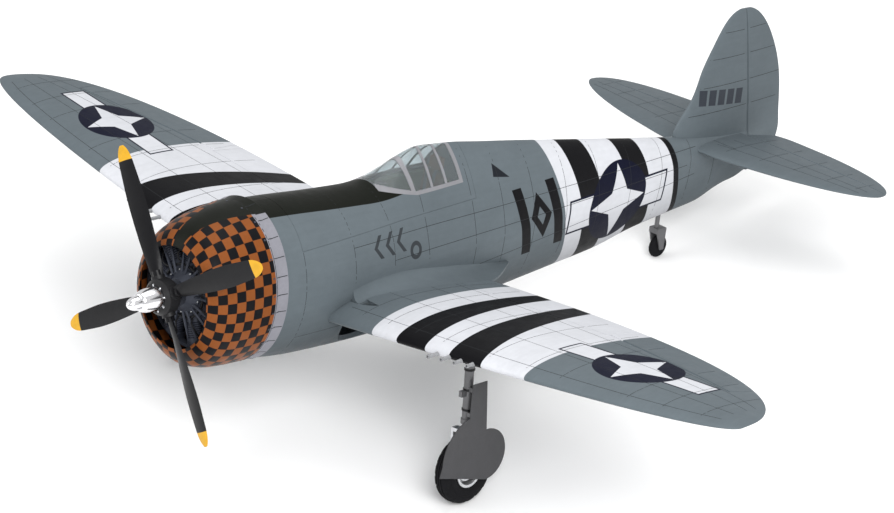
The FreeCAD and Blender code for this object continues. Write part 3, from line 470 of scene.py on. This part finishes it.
def clear_glazing():
    """Vacuum-formed clear plastic with a faint tint and soft drawing marks."""
    f = Finish("clear_glazing", (0.62, 0.68, 0.70), roughness=0.06, coat=0.3)
    f.shader.inputs["Transmission Weight"].default_value = 0.92
    f.shader.inputs["IOR"].default_value = 1.12
    f.shade(f.noise(12.0, 3.0), 0.92, 1.04)
    f.relief(f.noise(9.0, 2.0), 0.05)
    return f.finish(f.noise(4.0, 3.0), 0.05)


fuselage = fuselage_paint()
wing = wing_paint()
tail = tail_paint()
cowling = cowl_paint()
propeller = propeller_paint()
rubber = tyre_rubber()
carbon = carbon_tube()
ply = plywood()
strap = webbing()
wrap = shrink_wrap()
glazing = clear_glazing()
seam_ink = moulded("seam_shadow", (0.014, 0.016, 0.018), 0.7, 0.2)
frame_paint = moulded("canopy_frame_paint", (0.22, 0.22, 0.235), 0.4, 0.12, metallic=0.2)
gun_paint = moulded("gun_paint", (0.24, 0.245, 0.255), 0.4, 0.15, metallic=0.3)
door_grey = moulded("door_grey", (0.050, 0.050, 0.053), 0.5, 0.15)
strut_grey = moulded("strut_grey", (0.12, 0.12, 0.125), 0.4, 0.15, metallic=0.4)
black_plastic = moulded("black_plastic", (0.010, 0.010, 0.011), 0.45, 0.2)
servo_blue = moulded("servo_case", (0.018, 0.030, 0.085), 0.35, 0.12)
white_nylon = moulded("white_nylon", (0.62, 0.61, 0.57), 0.4, 0.08)
cockpit_green = moulded("cockpit_green", (0.055, 0.085, 0.045), 0.6, 0.2)
engine_grey = moulded("engine_grey", (0.045, 0.050, 0.066), 0.45, 0.25, metallic=0.3)
cylinder_black = moulded("cylinder_black", (0.014, 0.016, 0.026), 0.5, 0.3, metallic=0.3)
leather = moulded("seat_leather", (0.10, 0.045, 0.02), 0.6, 0.25, 0.08)
mirror_metal = machined("polished_metal", (0.80, 0.80, 0.82), 0.14, (0.1, 1, 1))
steel = machined("bright_steel", (0.55, 0.56, 0.58), 0.28, (0.1, 1, 1))
aluminium = machined("satin_aluminium", (0.66, 0.67, 0.69), 0.34, (1, 0.1, 1))
dial_face = moulded("dial_face", (0.01, 0.01, 0.011), 0.3, 0.2)
dial_white = moulded("dial_marks", (0.7, 0.7, 0.66), 0.4, 0.05)
circuit_label = moulded("controller_case", (0.02, 0.02, 0.024), 0.3, 0.15)
receiver_case = moulded("receiver_case", (0.20, 0.21, 0.23), 0.4, 0.1)

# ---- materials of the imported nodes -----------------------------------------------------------
NODE_FINISH = {
    "fuselage_left": fuselage, "fuselage_right": fuselage, "hatch": fuselage,
    "wing_panel_left": wing, "wing_panel_right": wing, "flap_left": wing, "flap_right": wing,
    "aileron_left": wing, "aileron_right": wing,
    "tailplane": tail, "elevator_left": tail, "elevator_right": tail, "fin": tail, "rudder": tail,
    "elevator_joiner": steel, "wing_spar": carbon, "wing_screws": steel,
    "wing_servos": servo_blue, "tail_servos": servo_blue,
    "canopy_frame": frame_paint, "canopy_glass": glazing, "cockpit_tub": cockpit_green,
    "seat": leather, "instrument_panel": black_plastic,
    "cowl": cowling, "engine_dummy": engine_grey, "firewall": ply, "motor_mount": aluminium,
    "motor_stator": steel, "motor_bell": aluminium, "prop_adapter": steel,
    "prop_hub": black_plastic, "spinner": mirror_metal, "blades": propeller,
    "equipment_tray": ply, "battery": wrap, "battery_strap": strap,
    "speed_controller": circuit_label, "receiver": receiver_case, "retract_units": black_plastic,
    "tail_fork": strut_grey, "tail_wheel": rubber,
}
for side in ("_left", "_right"):
    NODE_FINISH["flap_arm" + side] = white_nylon
    NODE_FINISH["aileron_arm" + side] = white_nylon
    NODE_FINISH["flap_pushrod" + side] = steel
    NODE_FINISH["aileron_pushrod" + side] = steel
    NODE_FINISH["gear_leg" + side] = strut_grey
    NODE_FINISH["gear_door" + side] = door_grey
    NODE_FINISH["oleo" + side] = steel
    NODE_FINISH["tyre" + side] = rubber
    NODE_FINISH["wheel_hub" + side] = aluminium

for name, obj in frame["nodes"].items():
    obj.data.materials.clear()
    obj.data.materials.append(NODE_FINISH[name])


# ---- mesh helpers ----------------------------------------------------------------------------
SMOOTH_ANGLE = math.radians(34)


def piece(name, parts, material, body):
    """One object from (points, faces) parts in airframe millimetres, riding on a body."""
    points, faces = [], []
    for part_points, part_faces in parts:
        start = len(points)
        points += [at(*p) for p in part_points]
        faces += [[start + i for i in face] for face in part_faces]
    mesh = bpy.data.meshes.new(name)
    mesh.from_pydata(points, [], faces)
    work = bmesh.new()
    work.from_mesh(mesh)
    bmesh.ops.recalc_face_normals(work, faces=work.faces)
    for face in work.faces:
        face.smooth = True
    for edge in work.edges:
        edge.smooth = edge.calc_face_angle(0.0) < SMOOTH_ANGLE
    work.to_mesh(mesh)
    work.free()
    mesh.materials.append(material)
    obj = bpy.data.objects.new(name, mesh)
    bpy.context.scene.collection.objects.link(obj)
    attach(obj, body)
    return obj


def skin_rings(rings):
    """Closed solid through rings of equal point count, capped at both ends."""
    count = len(rings[0])
    points = [p for ring in rings for p in ring]
    faces = []
    for i in range(len(rings) - 1):
        for k in range(count):
            a, b = i * count + k, i * count + (k + 1) % count
            faces.append([a, b, b + count, a + count])
    faces.append(list(range(count))[::-1])
    faces.append([len(points) - count + k for k in range(count)])
    return points, faces


def across(direction):
    """Two unit vectors square to a direction and to each other."""
    direction = Vector(direction).normalized()
    helper = Vector((0, 0, 1)) if abs(direction.z) < 0.9 else Vector((1, 0, 0))
    u = direction.cross(helper).normalized()
    return u, direction.cross(u)


def lathe(centre, axis, profile, sides=24, ripple=None):
    """Turned solid: profile is (along, radius) from one end to the other."""
    centre, axis = Vector(centre), Vector(axis).normalized()
    u, v = across(axis)
    rings = []
    for along, radius in profile:
        ring = []
        for k in range(sides):
            angle = 2 * math.pi * k / sides
            r = radius if ripple is None else ripple(along, radius, k)
            ring.append(centre + axis * along + (u * math.cos(angle) + v * math.sin(angle)) * r)
        rings.append(ring)
    return skin_rings(rings)


def torus_lathe(centre, axis, profile, sides=48, ripple=None):
    """Turned solid from a closed (along, radius) profile that doesn't reach the axis."""
    points, _ = lathe(centre, axis, profile, sides, ripple)
    count = len(profile)
    faces = []
    for i in range(count):
        for k in range(sides):
            a, b = i * sides + k, i * sides + (k + 1) % sides
            c, d = (i + 1) % count * sides + (k + 1) % sides, (i + 1) % count * sides + k
            faces.append([a, b, c, d])
    return points, faces


def pipe(path, radius, sides=8):
    """Round bar along a path of points, with flat ends."""
    path = [Vector(p) for p in path]
    rings = []
    u = None
    for i, p in enumerate(path):
        ahead = (path[min(i + 1, len(path) - 1)] - path[max(i - 1, 0)]).normalized()
        u = across(ahead)[0] if u is None else (u - ahead * u.dot(ahead)).normalized()
        v = ahead.cross(u)
        turns = [2 * math.pi * k / sides for k in range(sides)]
        rings.append([p + (u * math.cos(a) + v * math.sin(a)) * radius for a in turns])
    return skin_rings(rings)


def dome(centre, normal, radius, height, sunk=0.4, sides=8):
    """Rivet or screw head standing on a surface."""
    profile = [(-sunk, radius), (height * 0.35, radius), (height * 0.8, radius * 0.72),
               (height, radius * 0.3)]
    return lathe(centre, normal, profile, sides)


def block(low, high, bevel=0.6):
    """Box with chamfered edges along all three directions."""
    (x0, y0, z0), (x1, y1, z1) = low, high
    b = min(bevel, (x1 - x0) / 3, (y1 - y0) / 3, (z1 - z0) / 3)
    rings = []
    for z, inset in ((z0, b), (z0 + b, 0.0), (z1 - b, 0.0), (z1, b)):
        a0, a1, c0, c1 = x0 + inset, x1 - inset, y0 + inset, y1 - inset
        rings.append([(a0 + b, c0, z), (a1 - b, c0, z), (a1, c0 + b, z), (a1, c1 - b, z),
                      (a1 - b, c1, z), (a0 + b, c1, z), (a0, c1 - b, z), (a0, c0 + b, z)])
    return skin_rings(rings)


def ribbon(run, width, proud, sunk):
    """Thin closed bar laid along a run of (point, normal) on a surface."""
    rings = []
    for i, (point, normal) in enumerate(run):
        ahead = run[min(i + 1, len(run) - 1)][0] - run[max(i - 1, 0)][0]
        side = normal.cross(ahead).normalized() * (width / 2)
        top, foot = normal * proud, normal * -sunk
        rings.append([point - side + top, point + side + top, point + side + foot, point - side + foot])
    return skin_rings(rings)


class Skin:
    """Outer surface of several CAD nodes, in airframe millimetres, for laying lines on."""

    def __init__(self, names):
        points, faces, self.owner = [], [], []
        for name in names:
            obj = frame["nodes"][name]
            start = len(points)
            points += [airframe(obj.matrix_world @ v.co) for v in obj.data.vertices]
            for polygon in obj.data.polygons:
                faces.append([start + i for i in polygon.vertices])
                self.owner.append(name)
        self.tree = BVHTree.FromPolygons(points, faces)

    def hit(self, origin, direction):
        """(point, outward normal, node) of the first surface met, or None."""
        direction = Vector(direction)
        point, normal, face, _ = self.tree.ray_cast(Vector(origin), direction)
        if point is None:
            return None
        if normal.dot(direction) > 0:
            normal = -normal
        return point, normal, self.owner[face]

    def runs(self, rays, leap=14.0):
        """Runs of (point, normal) by node, split where rays miss, change node or jump."""
        found, run, on = [], [], None
        for origin, direction in rays:
            met = self.hit(origin, direction)
            broken = met is None or met[2] != on or (run and (met[0] - run[-1][0]).length > leap)
            if broken and run:
                found.append((on, run))
                run = []
            if met is not None:
                run.append(met[:2])
                on = met[2]
        if run:
            found.append((on, run))
        return [(node, run) for node, run in found if len(run) > 2]


bpy.context.view_layer.update()
BODY_OF = {"hatch": "hatch", "canopy_frame": "hatch", "flap_left": "flap_left", "flap_right": "flap_right",
           "aileron_left": "aileron_left", "aileron_right": "aileron_right", "rudder": "rudder",
           "elevator_left": "elevators", "elevator_right": "elevators"}        # the rest: airframe
SKIN_NODES = ["fuselage_left", "fuselage_right", "hatch", "canopy_frame", "canopy_glass", "cowl",
              "wing_panel_left", "wing_panel_right", "flap_left", "flap_right", "aileron_left",
              "aileron_right", "tailplane", "elevator_left", "elevator_right", "fin", "rudder"]
LINED = set(SKIN_NODES) - {"canopy_glass", "canopy_frame", "cowl"}
skin = Skin(SKIN_NODES)


# ---- panel lines and rivets ------------------------------------------------------------------
HULL_OUT = 170.0            # clear of the fuselage and cowl all round
WING_OUT = 300.0            # clear of everything above, below and beside the wing root
LINE_STEP = 6.0
RIVET_GAP, RIVET_ASIDE = 9.0, 2.6


def steps(start, end, gap):
    count = max(2, round(abs(end - start) / gap) + 1)
    return [start + (end - start) * i / (count - 1) for i in range(count)]


def ring_rays(x, z_mid, start=0, end=360):
    rays = []
    for angle in steps(math.radians(start), math.radians(end), math.radians(5)):
        out = Vector((0, math.sin(angle), math.cos(angle)))
        rays.append((Vector((x, 0, z_mid)) + out * HULL_OUT, -out))
    return rays


def side_rays(x0, x1, z0, z1, side):
    return [((x, WING_OUT * side, z0 + (z1 - z0) * (x - x0) / (x1 - x0)), (0, -side, 0))
            for x in steps(x0, x1, LINE_STEP)]


def plan_rays(start, end, above):
    """Rays straight down (or up) along a line in plan from start to end, both (x, y)."""
    start, end = Vector(start), Vector(end)
    count = max(3, round((end - start).length / LINE_STEP))
    spots = [start.lerp(end, i / count) for i in range(count + 1)]
    return [((p.x, p.y, WING_OUT * above), (0, 0, -above)) for p in spots]


# fuselage frames by x; stringers and spans by where they start and end
FRAMES_AT = (-150, -232, -300, -362, -448, -502, -560, -624, -690, -757, -824, -888, -942)
STRINGERS = ((-232, -900, 34, 22), (-300, -880, 6, 2), (-448, -900, -36, -14), (-150, -440, -60, -66))
WING_SPANS = ((0.06, 0.05), (0.30, 0.28), (0.55, 0.53), (0.72, 0.70))
WING_RIBS = (108, 148, 190, 232, 300, 352, 398, 486, 530, 575)
ROOT_Y, TIP_Y = 84.0, 596.0
HALF_SPAN, TIP_ROUNDING = 621.0, 2.6


def wing_edge(y, share):
    """x of a share of the chord at span y, from the leading edge back."""
    lean = 1 - math.sqrt(max(0.0, 1 - (y / HALF_SPAN) ** TIP_ROUNDING))
    lead = -203.0 - 0.02 * y - 70.0 * lean
    trail = -452.0 + 0.06 * y + 95.0 * lean
    return lead + (trail - lead) * share


def all_lines():
    lines = [ring_rays(x, 0 if x > -600 else 4) for x in FRAMES_AT]
    for side in (-1, 1):
        lines += [side_rays(*stringer, side) for stringer in STRINGERS]
        for above in (-1, 1):
            for root, tip in WING_SPANS:
                spots = [(wing_edge(y, root + (tip - root) * y / TIP_Y), y * side)
                         for y in steps(ROOT_Y, TIP_Y, 24)]
                lines += [plan_rays(a, b, above) for a, b in zip(spots, spots[1:])]
            for y in WING_RIBS:
                lines.append(plan_rays((wing_edge(y, 0.03), y * side), (wing_edge(y, 0.97), y * side), above))
            for y in (45, 90, 135, 180, 218):
                lines.append(plan_rays((-912 - 0.3 * y, y * side), (-1034 + 0.08 * y, y * side), above))
            lines.append(plan_rays((-935, 22 * side), (-972, 228 * side), above))
            lines.append(plan_rays((-968, 22 * side), (-984, 232 * side), above))
        for z in (60, 95, 132, 166):
            lines.append(side_rays(-890, -1070, z, z, side))
        lines.append(side_rays(-935, -962, 30, 180, side))
        lines.append(side_rays(-985, -992, 20, 184, side))
    return lines


def joined(runs):
    """Joins runs of one node that meet end to end."""
    out = []
    for node, run in runs:
        if out and out[-1][0] == node and (out[-1][1][-1][0] - run[0][0]).length < 0.5:
            out[-1][1].extend(run[1:])
        else:
            out.append((node, list(run)))
    return out


def lay_lines():
    """Panel lines, each with a row of flush rivets beside it, grouped by the node they lie on."""
    seams, rivets = {}, {}
    runs = joined([found for rays in all_lines() for found in skin.runs(rays)])
    for node, run in runs:
        if node not in LINED:
            continue
        seams.setdefault(node, []).append(ribbon(run, 0.6, 0.06, 0.35))
        walked = 0.0
        for (a, normal), (b, _) in zip(run, run[1:]):
            walked += (b - a).length
            if walked > RIVET_GAP:
                walked = 0.0
                side = normal.cross(b - a).normalized() * RIVET_ASIDE
                rivets.setdefault(node, []).append(dome(a + side, normal, 0.62, 0.14, 0.3, 6))
    for node, parts in seams.items():
        piece("seams_" + node, parts, seam_ink, BODY_OF.get(node, "airframe"))
    for node, parts in rivets.items():
        piece("rivets_" + node, parts, NODE_FINISH[node], BODY_OF.get(node, "airframe"))


lay_lines()


# ---- wing root fillets -----------------------------------------------------------------------
# x, height of the upper edge on the fuselage side, distance of the outer edge from the centre
FILLET = ((-229, -9, 84), (-246, -5, 85), (-264, -3, 88), (-288, -4, 93), (-316, -6, 98),
          (-346, -11, 100.5), (-381, -18, 101), (-415, -24, 99), (-440, -29, 95), (-462, -34, 88),
          (-484, -39, 76), (-503, -43, 64), (-517, -46, 55))
TRAIL_X = -441.0            # behind this the wing's height is taken from here
CLEAR_Y = 86.0              # just outboard of the widest fuselage section
SIDE_Y = 104.0              # where the rays that look for the fuselage side start
WING_RISE = 15.0            # wing skin over its mid line at the first station, if no ray meets it
FILLET_DEPTH, FILLET_SUNK = 3.0, 5.0
FILLET_STEPS = 10


def fillet(side):
    """Concave fairing from the fuselage side down to the wing, sunk a little into both."""
    rings = []
    z_wing = WING_MID_Z + DIHEDRAL * CLEAR_Y + WING_RISE
    for x, z_top, y_out in FILLET:
        met = skin.hit((x, SIDE_Y * side, z_top), (0, -side, 0))
        y_hull = abs(met[0].y) - 0.8
        on_wing = skin.hit((max(x, TRAIL_X), max(y_out, CLEAR_Y) * side, 60), (0, 0, -1))
        if on_wing:
            z_wing = on_wing[0].z - 0.5 - DIHEDRAL * max(0.0, CLEAR_Y - y_out)
        high, low = Vector((x, y_hull, z_top)), Vector((x, max(y_out, y_hull + 0.5), z_wing))
        bend = Vector((x, y_hull + 1.0, z_wing + 0.8))
        ring = []
        for i in range(FILLET_STEPS + 1):
            t = i / FILLET_STEPS
            p = high * (1 - t) ** 2 + bend * (2 * t * (1 - t)) + low * t ** 2
            ring.append((p.x, p.y * side, p.z))
        ring.append((x, low.y * side, z_wing - FILLET_DEPTH))
        ring.append((x, (y_hull - FILLET_SUNK) * side, z_wing - FILLET_DEPTH))
        ring.append((x, (y_hull - FILLET_SUNK) * side, z_top))
        rings.append(ring)
    return skin_rings(rings)


for name, side in (("left", 1), ("right", -1)):
    piece("wing_fillet_" + name, [fillet(side)], fuselage, "airframe")


# ---- guns ------------------------------------------------------------------------------------
def gun(y, reach, side):
    """Barrel with a cooling sleeve and a bored muzzle, its root buried in the leading edge."""
    met = skin.hit((0, y * side, WING_MID_Z + DIHEDRAL * y - 1.5), (-1, 0, 0))[0]
    profile = [(-9, 2.6), (1.5, 2.6), (2.4, 2.2), (reach - 5, 2.2), (reach - 4.4, 1.8), (reach - 3.2, 1.8),
               (reach - 2.6, 2.3), (reach, 2.3), (reach, 1.4), (reach - 3, 1.3)]
    return lathe(met, (1, 0, 0), profile, 20)


GUNS = ((236, 16.5), (253, 14.0), (270, 12.0), (287, 10.5))        # y, length ahead of the wing
for name, side in (("left", 1), ("right", -1)):
    piece("guns_" + name, [gun(y, reach, side) for y, reach in GUNS], gun_paint, "airframe")


# ---- cowl and engine -------------------------------------------------------------------------
COWL_FLAPS = 24
FASTENER_X, FLAP_X = -96.5, -100.5
COWL_RAY_Z = -3


def cowl_details():
    """Gaps between the cooling flaps, the ring they hinge on, and a fastener ahead of each."""
    gaps, heads = [], []
    for k in range(COWL_FLAPS):
        angle = math.radians(360 / COWL_FLAPS * (k + 0.5))
        out = Vector((0, math.sin(angle), math.cos(angle)))
        rays = [(Vector((x, 0, COWL_RAY_Z)) + out * HULL_OUT, -out) for x in steps(-101, -116, 3)]
        gaps += [ribbon(run, 0.9, 0.08, 0.35) for node, run in skin.runs(rays) if node == "cowl"]
        met = skin.hit(Vector((FASTENER_X, 0, COWL_RAY_Z)) + out * HULL_OUT, -out)
        if met[2] == "cowl":
            heads.append(dome(met[0], met[1], 1.3, 0.35, 0.5, 10))
    hinge_runs = skin.runs(ring_rays(FLAP_X, COWL_RAY_Z))
    gaps += [ribbon(run, 0.8, 0.08, 0.35) for node, run in hinge_runs if node == "cowl"]
    piece("cowl_flap_gaps", gaps, seam_ink, "airframe")
    piece("cowl_fasteners", heads, engine_grey, "airframe")


cowl_details()
CYLINDERS = 9


def radial(k, count, radius, x, offset=0.0):
    """Point at the k-th of count places round the thrust line, and the direction outwards."""
    angle = 2 * math.pi * k / count + math.radians(offset)
    out = Vector((0, -math.sin(angle), math.cos(angle)))
    return Vector((x, 0, 0)) + out * radius, out


def engine_details():
    """Cooling fins, ignition leads from their ring, and the bolts of the dummy radial engine."""
    fins, leads, bolts = [], [], []
    for k in range(CYLINDERS):
        for radius in steps(37.0, 54.0, 2.4):
            centre, out = radial(k, CYLINDERS, radius, -42)
            fins.append(lathe(centre, out, [(-0.5, 12.4), (0.0, 12.8), (0.5, 12.4)], 20))
        start, _ = radial(k, CYLINDERS, 30, -33, 12)
        bend, _ = radial(k, CYLINDERS, 44, -27, 15)
        end, _ = radial(k, CYLINDERS, 57, -35.5, 10)
        leads.append(pipe([start, start.lerp(bend, 0.6) + Vector((3, 0, 0)), bend, end], 0.9, 8))
        for offset in (-5, 5):
            spot, _ = radial(k, CYLINDERS, 61, -34.9, offset)
            bolts.append(dome(spot, (1, 0, 0), 1.3, 0.9, 0.6, 6))
        spot, _ = radial(k, CYLINDERS, 25, -29.4, 20)
        bolts.append(dome(spot, (1, 0, 0), 1.2, 0.9, 1.5, 6))
    turn = steps(0, math.radians(330), math.radians(30))
    ring = [(-31 + 1.4 * math.cos(a), 31 + 1.4 * math.sin(a)) for a in turn]
    leads.append(torus_lathe((0, 0, 0), (1, 0, 0), ring, 48))
    for offset in (50, -50):
        centre, _ = radial(0, 1, 17.5, -29, offset)
        fins.append(lathe(centre, (1, 0, 0), [(0, 5), (7, 5), (8, 4), (9, 2)], 16))
    piece("cylinder_fins", fins, cylinder_black, "airframe")
    piece("ignition_leads", leads, black_plastic, "airframe")
    piece("engine_bolts", bolts, steel, "airframe")


engine_details()


# ---- propeller -------------------------------------------------------------------------------
def hub_details():
    bolts = []
    for k in range(8):
        spot, _ = radial(k, 8, 15.2, 11.2, 22.5)
        bolts.append(dome(spot, (1, 0, 0), 1.5, 1.5, 1.0, 6))
    return bolts


def spinner_dome():
    """Two-step polished dome, bored at the back for the shaft nut."""
    base_x, step_x, base_r, tip_r = 12.2, 38.0, 14.5, 8.5
    nose_x = 54.0
    profile = [(base_x, 6.0), (base_x, base_r - 0.5), (base_x + 0.5, base_r)]
    quarter = [math.pi / 2 * i / 14 for i in range(1, 15)]
    profile += [(base_x + (step_x - base_x) * math.sin(a), tip_r + (base_r - tip_r) * math.cos(a))
                for a in quarter]
    profile += [(step_x + (nose_x - step_x) * math.sin(a), max(0.4, tip_r * math.cos(a)))
                for a in quarter]
    return lathe((0, 0, 0), (1, 0, 0), profile, 64)


piece("hub_bolts", hub_details(), steel, "propeller")
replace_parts(piece("spinner_dome", [spinner_dome()], mirror_metal, "propeller"), "spinner")


# ---- wheels and legs -------------------------------------------------------------------------
JOINTS = {joint["name"]: joint for joint in frame["joints"]}


def joint_line(name):
    """Point and unit axis of a joint, in the airframe frame, the axis pointing to port."""
    joint = JOINTS[name]
    point = airframe(joint["pos_m"])
    ahead = airframe(Vector(joint["pos_m"]) + Vector(joint["axis"])) - point
    return point, ahead.normalized() * (1 if ahead.y > 0 else -1)


TYRE_R, RIM_R = 41.0, 20.0
TREAD = 72


def tread(along, radius, k):
    """Blocks cut across the shoulders, staggered from one side to the other."""
    shoulder = 4.5 < abs(along) < 10.2 and radius > 34
    cut = (k + (2 if along > 0 else 0)) % 4 == 0
    return radius - (0.9 if shoulder and cut else 0.0)


def tyre(name, side):
    """Tyre with a rim bead, side ridge, tread blocks and a centre groove, and its hub's fasteners."""
    centre, axis = joint_line("wheel_spin_" + name)
    half = [(10.0, RIM_R), (10.8, 21.5), (10.5, 22.6), (11.3, 23.6), (11.9, 27.0), (11.9, 30.0),
            (11.4, 30.6), (11.4, 31.4), (11.5, 32.0), (10.4, 35.6), (9.0, 37.6), (7.6, 39.0), (5.4, 40.2),
            (4.2, 40.6), (3.9, 39.4), (3.1, 39.4), (2.8, 40.9), (0.6, TYRE_R), (0.4, 39.8)]
    profile = half + [(-along, radius) for along, radius in reversed(half)]
    rim = torus_lathe(centre, axis, profile, TREAD * 2, lambda a, r, k: tread(a, r, k // 2))
    obj = piece("tyre_tread_" + name, [rim], rubber, "wheel_" + name)
    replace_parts(obj, "tyre_" + name)
    bolts, plugs = [], []
    u, v = across(axis)
    outward = axis * side
    for k in range(6):
        angle = math.pi * k / 3
        out = u * math.cos(angle) + v * math.sin(angle)
        bolts.append(dome(centre + outward * 6.6 + out * 9.0, outward, 1.3, 1.2, 1.4, 6))
    for k in range(10):
        angle = math.pi * k / 5 + 0.2
        out = u * math.cos(angle) + v * math.sin(angle)
        spot = centre + outward * 10.2 + out * 18.4
        plugs.append(lathe(spot, outward, [(-0.8, 0.9), (0.3, 0.9), (0.5, 0.5)], 8))
    piece("hub_bolts_" + name, bolts + plugs, steel, "wheel_" + name)


def leg_details(name, side):
    """Brake hose that wanders a little down the back of the leg, held by three clips."""
    wheel, _ = joint_line("wheel_spin_" + name)
    pivot, _ = joint_line("gear_retract_" + name)
    pivot = Vector((wheel.x, pivot.y, pivot.z)) if abs(pivot.x - wheel.x) > 5 else pivot
    down = (wheel - pivot).normalized()
    length = (wheel - pivot).length
    ahead = Vector((1, 0, 0))
    out = ahead.cross(down).normalized()
    out = out if out.y * side > 0 else -out
    path = []
    for i, share in enumerate(steps(0.10, 0.58, 0.08)):
        sway = 1.2 * math.sin(i * 1.7)
        path.append(pivot + down * (length * share) - ahead * 6.4 + out * sway)
    hose = [pipe(path, 1.0, 8)]
    for share in (0.2, 0.36, 0.52):
        centre = pivot + down * (length * share)
        hose.append(torus_lathe(centre, down, [(-1.2, 5.4), (1.2, 5.4), (1.2, 6.4), (-1.2, 6.4)], 24))
    piece("brake_hose_" + name, hose, black_plastic, "gear_" + name)


for name, side in (("left", 1), ("right", -1)):
    tyre(name, side)
    leg_details(name, side)


# ---- cockpit ---------------------------------------------------------------------------------
def cockpit_details():
    """Dials, stick, throttle and harness."""
    dials, marks = [], []
    for y, z, radius in ((-13, 58, 4.6), (0, 57, 5.4), (13, 58, 4.6), (-8, 47.5, 3.8), (8, 47.5, 3.8)):
        rim = [(0.0, radius), (1.4, radius), (1.4, radius - 0.7), (0.6, radius - 0.8), (0.5, 0.3)]
        dials.append(lathe((-332.8, y, z), (-1, 0, 0), rim, 24))
        for k in range(8):
            angle = math.pi * k / 4
            spot = Vector((-333.4, y + math.sin(angle) * radius * 0.62, z + math.cos(angle) * radius * 0.62))
            marks.append(dome(spot, (-1, 0, 0), 0.32, 0.15, 0.1, 6))
        tip = Vector((-333.7, y + radius * 0.38, z + radius * 0.3))
        marks.append(pipe([Vector((-333.7, y, z)), tip], 0.22, 6))
    piece("dial_rims", dials, dial_face, "hatch")
    piece("dial_marks", marks, dial_white, "hatch")
    stick = [pipe([(-372, 0, 24), (-371, 0, 34), (-374, 0, 44), (-377, 0, 51)], 1.3, 10),
             lathe((-376, 0, 48), (-0.35, 0, 1), [(0, 2.0), (2, 2.6), (7, 2.4), (9, 1.4)], 14),
             lathe((-372, 0, 23.6), (0, 0, 1), [(0, 5.5), (2, 4.6), (5, 2.2), (6, 1.5)], 18)]
    for y in (19.5, 22.0):
        stick.append(pipe([(-368, y, 50), (-366, y, 58)], 0.7, 8))
    stick.append(block((-378, 18, 44), (-358, 24, 51), 1.2))
    piece("stick_and_throttle", stick, black_plastic, "hatch")
    straps = []
    for y in (-6.5, 6.5):
        path = [Vector((-422.5, y, 73)), Vector((-421.0, y, 75.5)), Vector((-418.5, y * 0.98, 73)),
                Vector((-416.0, y * 0.9, 60)), Vector((-414.5, y * 0.8, 46)), Vector((-411.0, y * 0.7, 36.5)),
                Vector((-404.0, y * 0.4, 34.9))]
        run = []
        for i, point in enumerate(path):
            ahead = path[min(i + 1, len(path) - 1)] - path[max(i - 1, 0)]
            run.append((point, ahead.cross(Vector((0, 1, 0))).normalized()))
        straps.append(ribbon(run, 4.2, 0.45, 0.45))
    lap = [Vector((-408, y, 35.2 + 1.2 * math.cos(y / 15 * math.pi / 2))) for y in steps(-14.5, 14.5, 3)]
    straps.append(ribbon([(p, Vector((0, 0, 1))) for p in lap], 4.6, 0.5, 0.5))
    piece("harness", straps, strap, "hatch")
    piece("harness_buckle", [block((-410.8, -3.2, 36.2), (-405.2, 3.2, 38.2), 0.7)], steel, "hatch")


cockpit_details()


def canopy_rivets():
    """Rivets over each hoop of the canopy frame."""
    heads = []
    for x in (-355, -386, -411, -437):
        for angle in range(-66, 67, 6):
            out = Vector((0, math.sin(math.radians(angle)), math.cos(math.radians(angle))))
            met = skin.hit(Vector((x, 0, 40)) + out * 160, -out)
            if met is not None and met[2] == "canopy_frame":
                heads.append(dome(met[0], met[1], 0.55, 0.18, 0.2, 6))
    piece("canopy_rivets", heads, frame_paint, "hatch")


canopy_rivets()


# ---- stage -----------------------------------------------------------------------------------
def set_stage():
    bpy.ops.mesh.primitive_plane_add(size=60, location=(0, 0, 0))
    floor = bpy.context.object
    floor.name = "floor"
    paper = bpy.data.materials.new("pale_floor")
    paper.use_nodes = True
    paper.node_tree.nodes["Principled BSDF"].inputs["Base Color"].default_value = (0.94, 0.94, 0.94, 1)
    paper.node_tree.nodes["Principled BSDF"].inputs["Roughness"].default_value = 0.9
    floor.data.materials.append(paper)


def soft_light(name, place, target, size, power):
    data = bpy.data.lights.new(name, "AREA")
    data.size = size
    data.energy = power
    lamp = bpy.data.objects.new(name, data)
    lamp.location = place
    lamp.rotation_mode = "QUATERNION"
    lamp.rotation_quaternion = (Vector(place) - Vector(target)).to_track_quat("Z", "Y")
    bpy.context.scene.collection.objects.link(lamp)


def set_lights():
    bpy.context.scene.view_settings.view_transform = "Standard"
    world = bpy.data.worlds.new("studio")
    world.use_nodes = True
    world.node_tree.nodes["Background"].inputs["Color"].default_value = (1.0, 1.0, 1.0, 1.0)
    world.node_tree.nodes["Background"].inputs["Strength"].default_value = 0.80
    bpy.context.scene.world = world
    middle = at(-450, 0, 0)
    soft_light("key", middle + Vector((1.6, 2.6, 2.2)), middle, 1.6, 110)
    soft_light("fill", middle + Vector((2.6, -1.8, 1.8)), middle, 2.4, 30)
    soft_light("top", middle + Vector((-0.6, 0.0, 3.2)), middle, 2.6, 40)


CAMERA_AT = (2605.0, 2745.9, 1570.1)
CAMERA_LOOKS_AT = (-465.0, 0.2, -47.3)
CAMERA_LENS = 146.7


def set_camera():
    data = bpy.data.cameras.new("camera")
    data.sensor_width = 36.0
    data.lens = CAMERA_LENS
    camera = bpy.data.objects.new("camera", data)
    camera.location = at(*CAMERA_AT)
    camera.rotation_mode = "QUATERNION"
    camera.rotation_quaternion = (at(*CAMERA_AT) - at(*CAMERA_LOOKS_AT)).to_track_quat("Z", "Y")
    bpy.context.scene.collection.objects.link(camera)
    bpy.context.scene.camera = camera


set_stage()
set_lights()
set_camera()
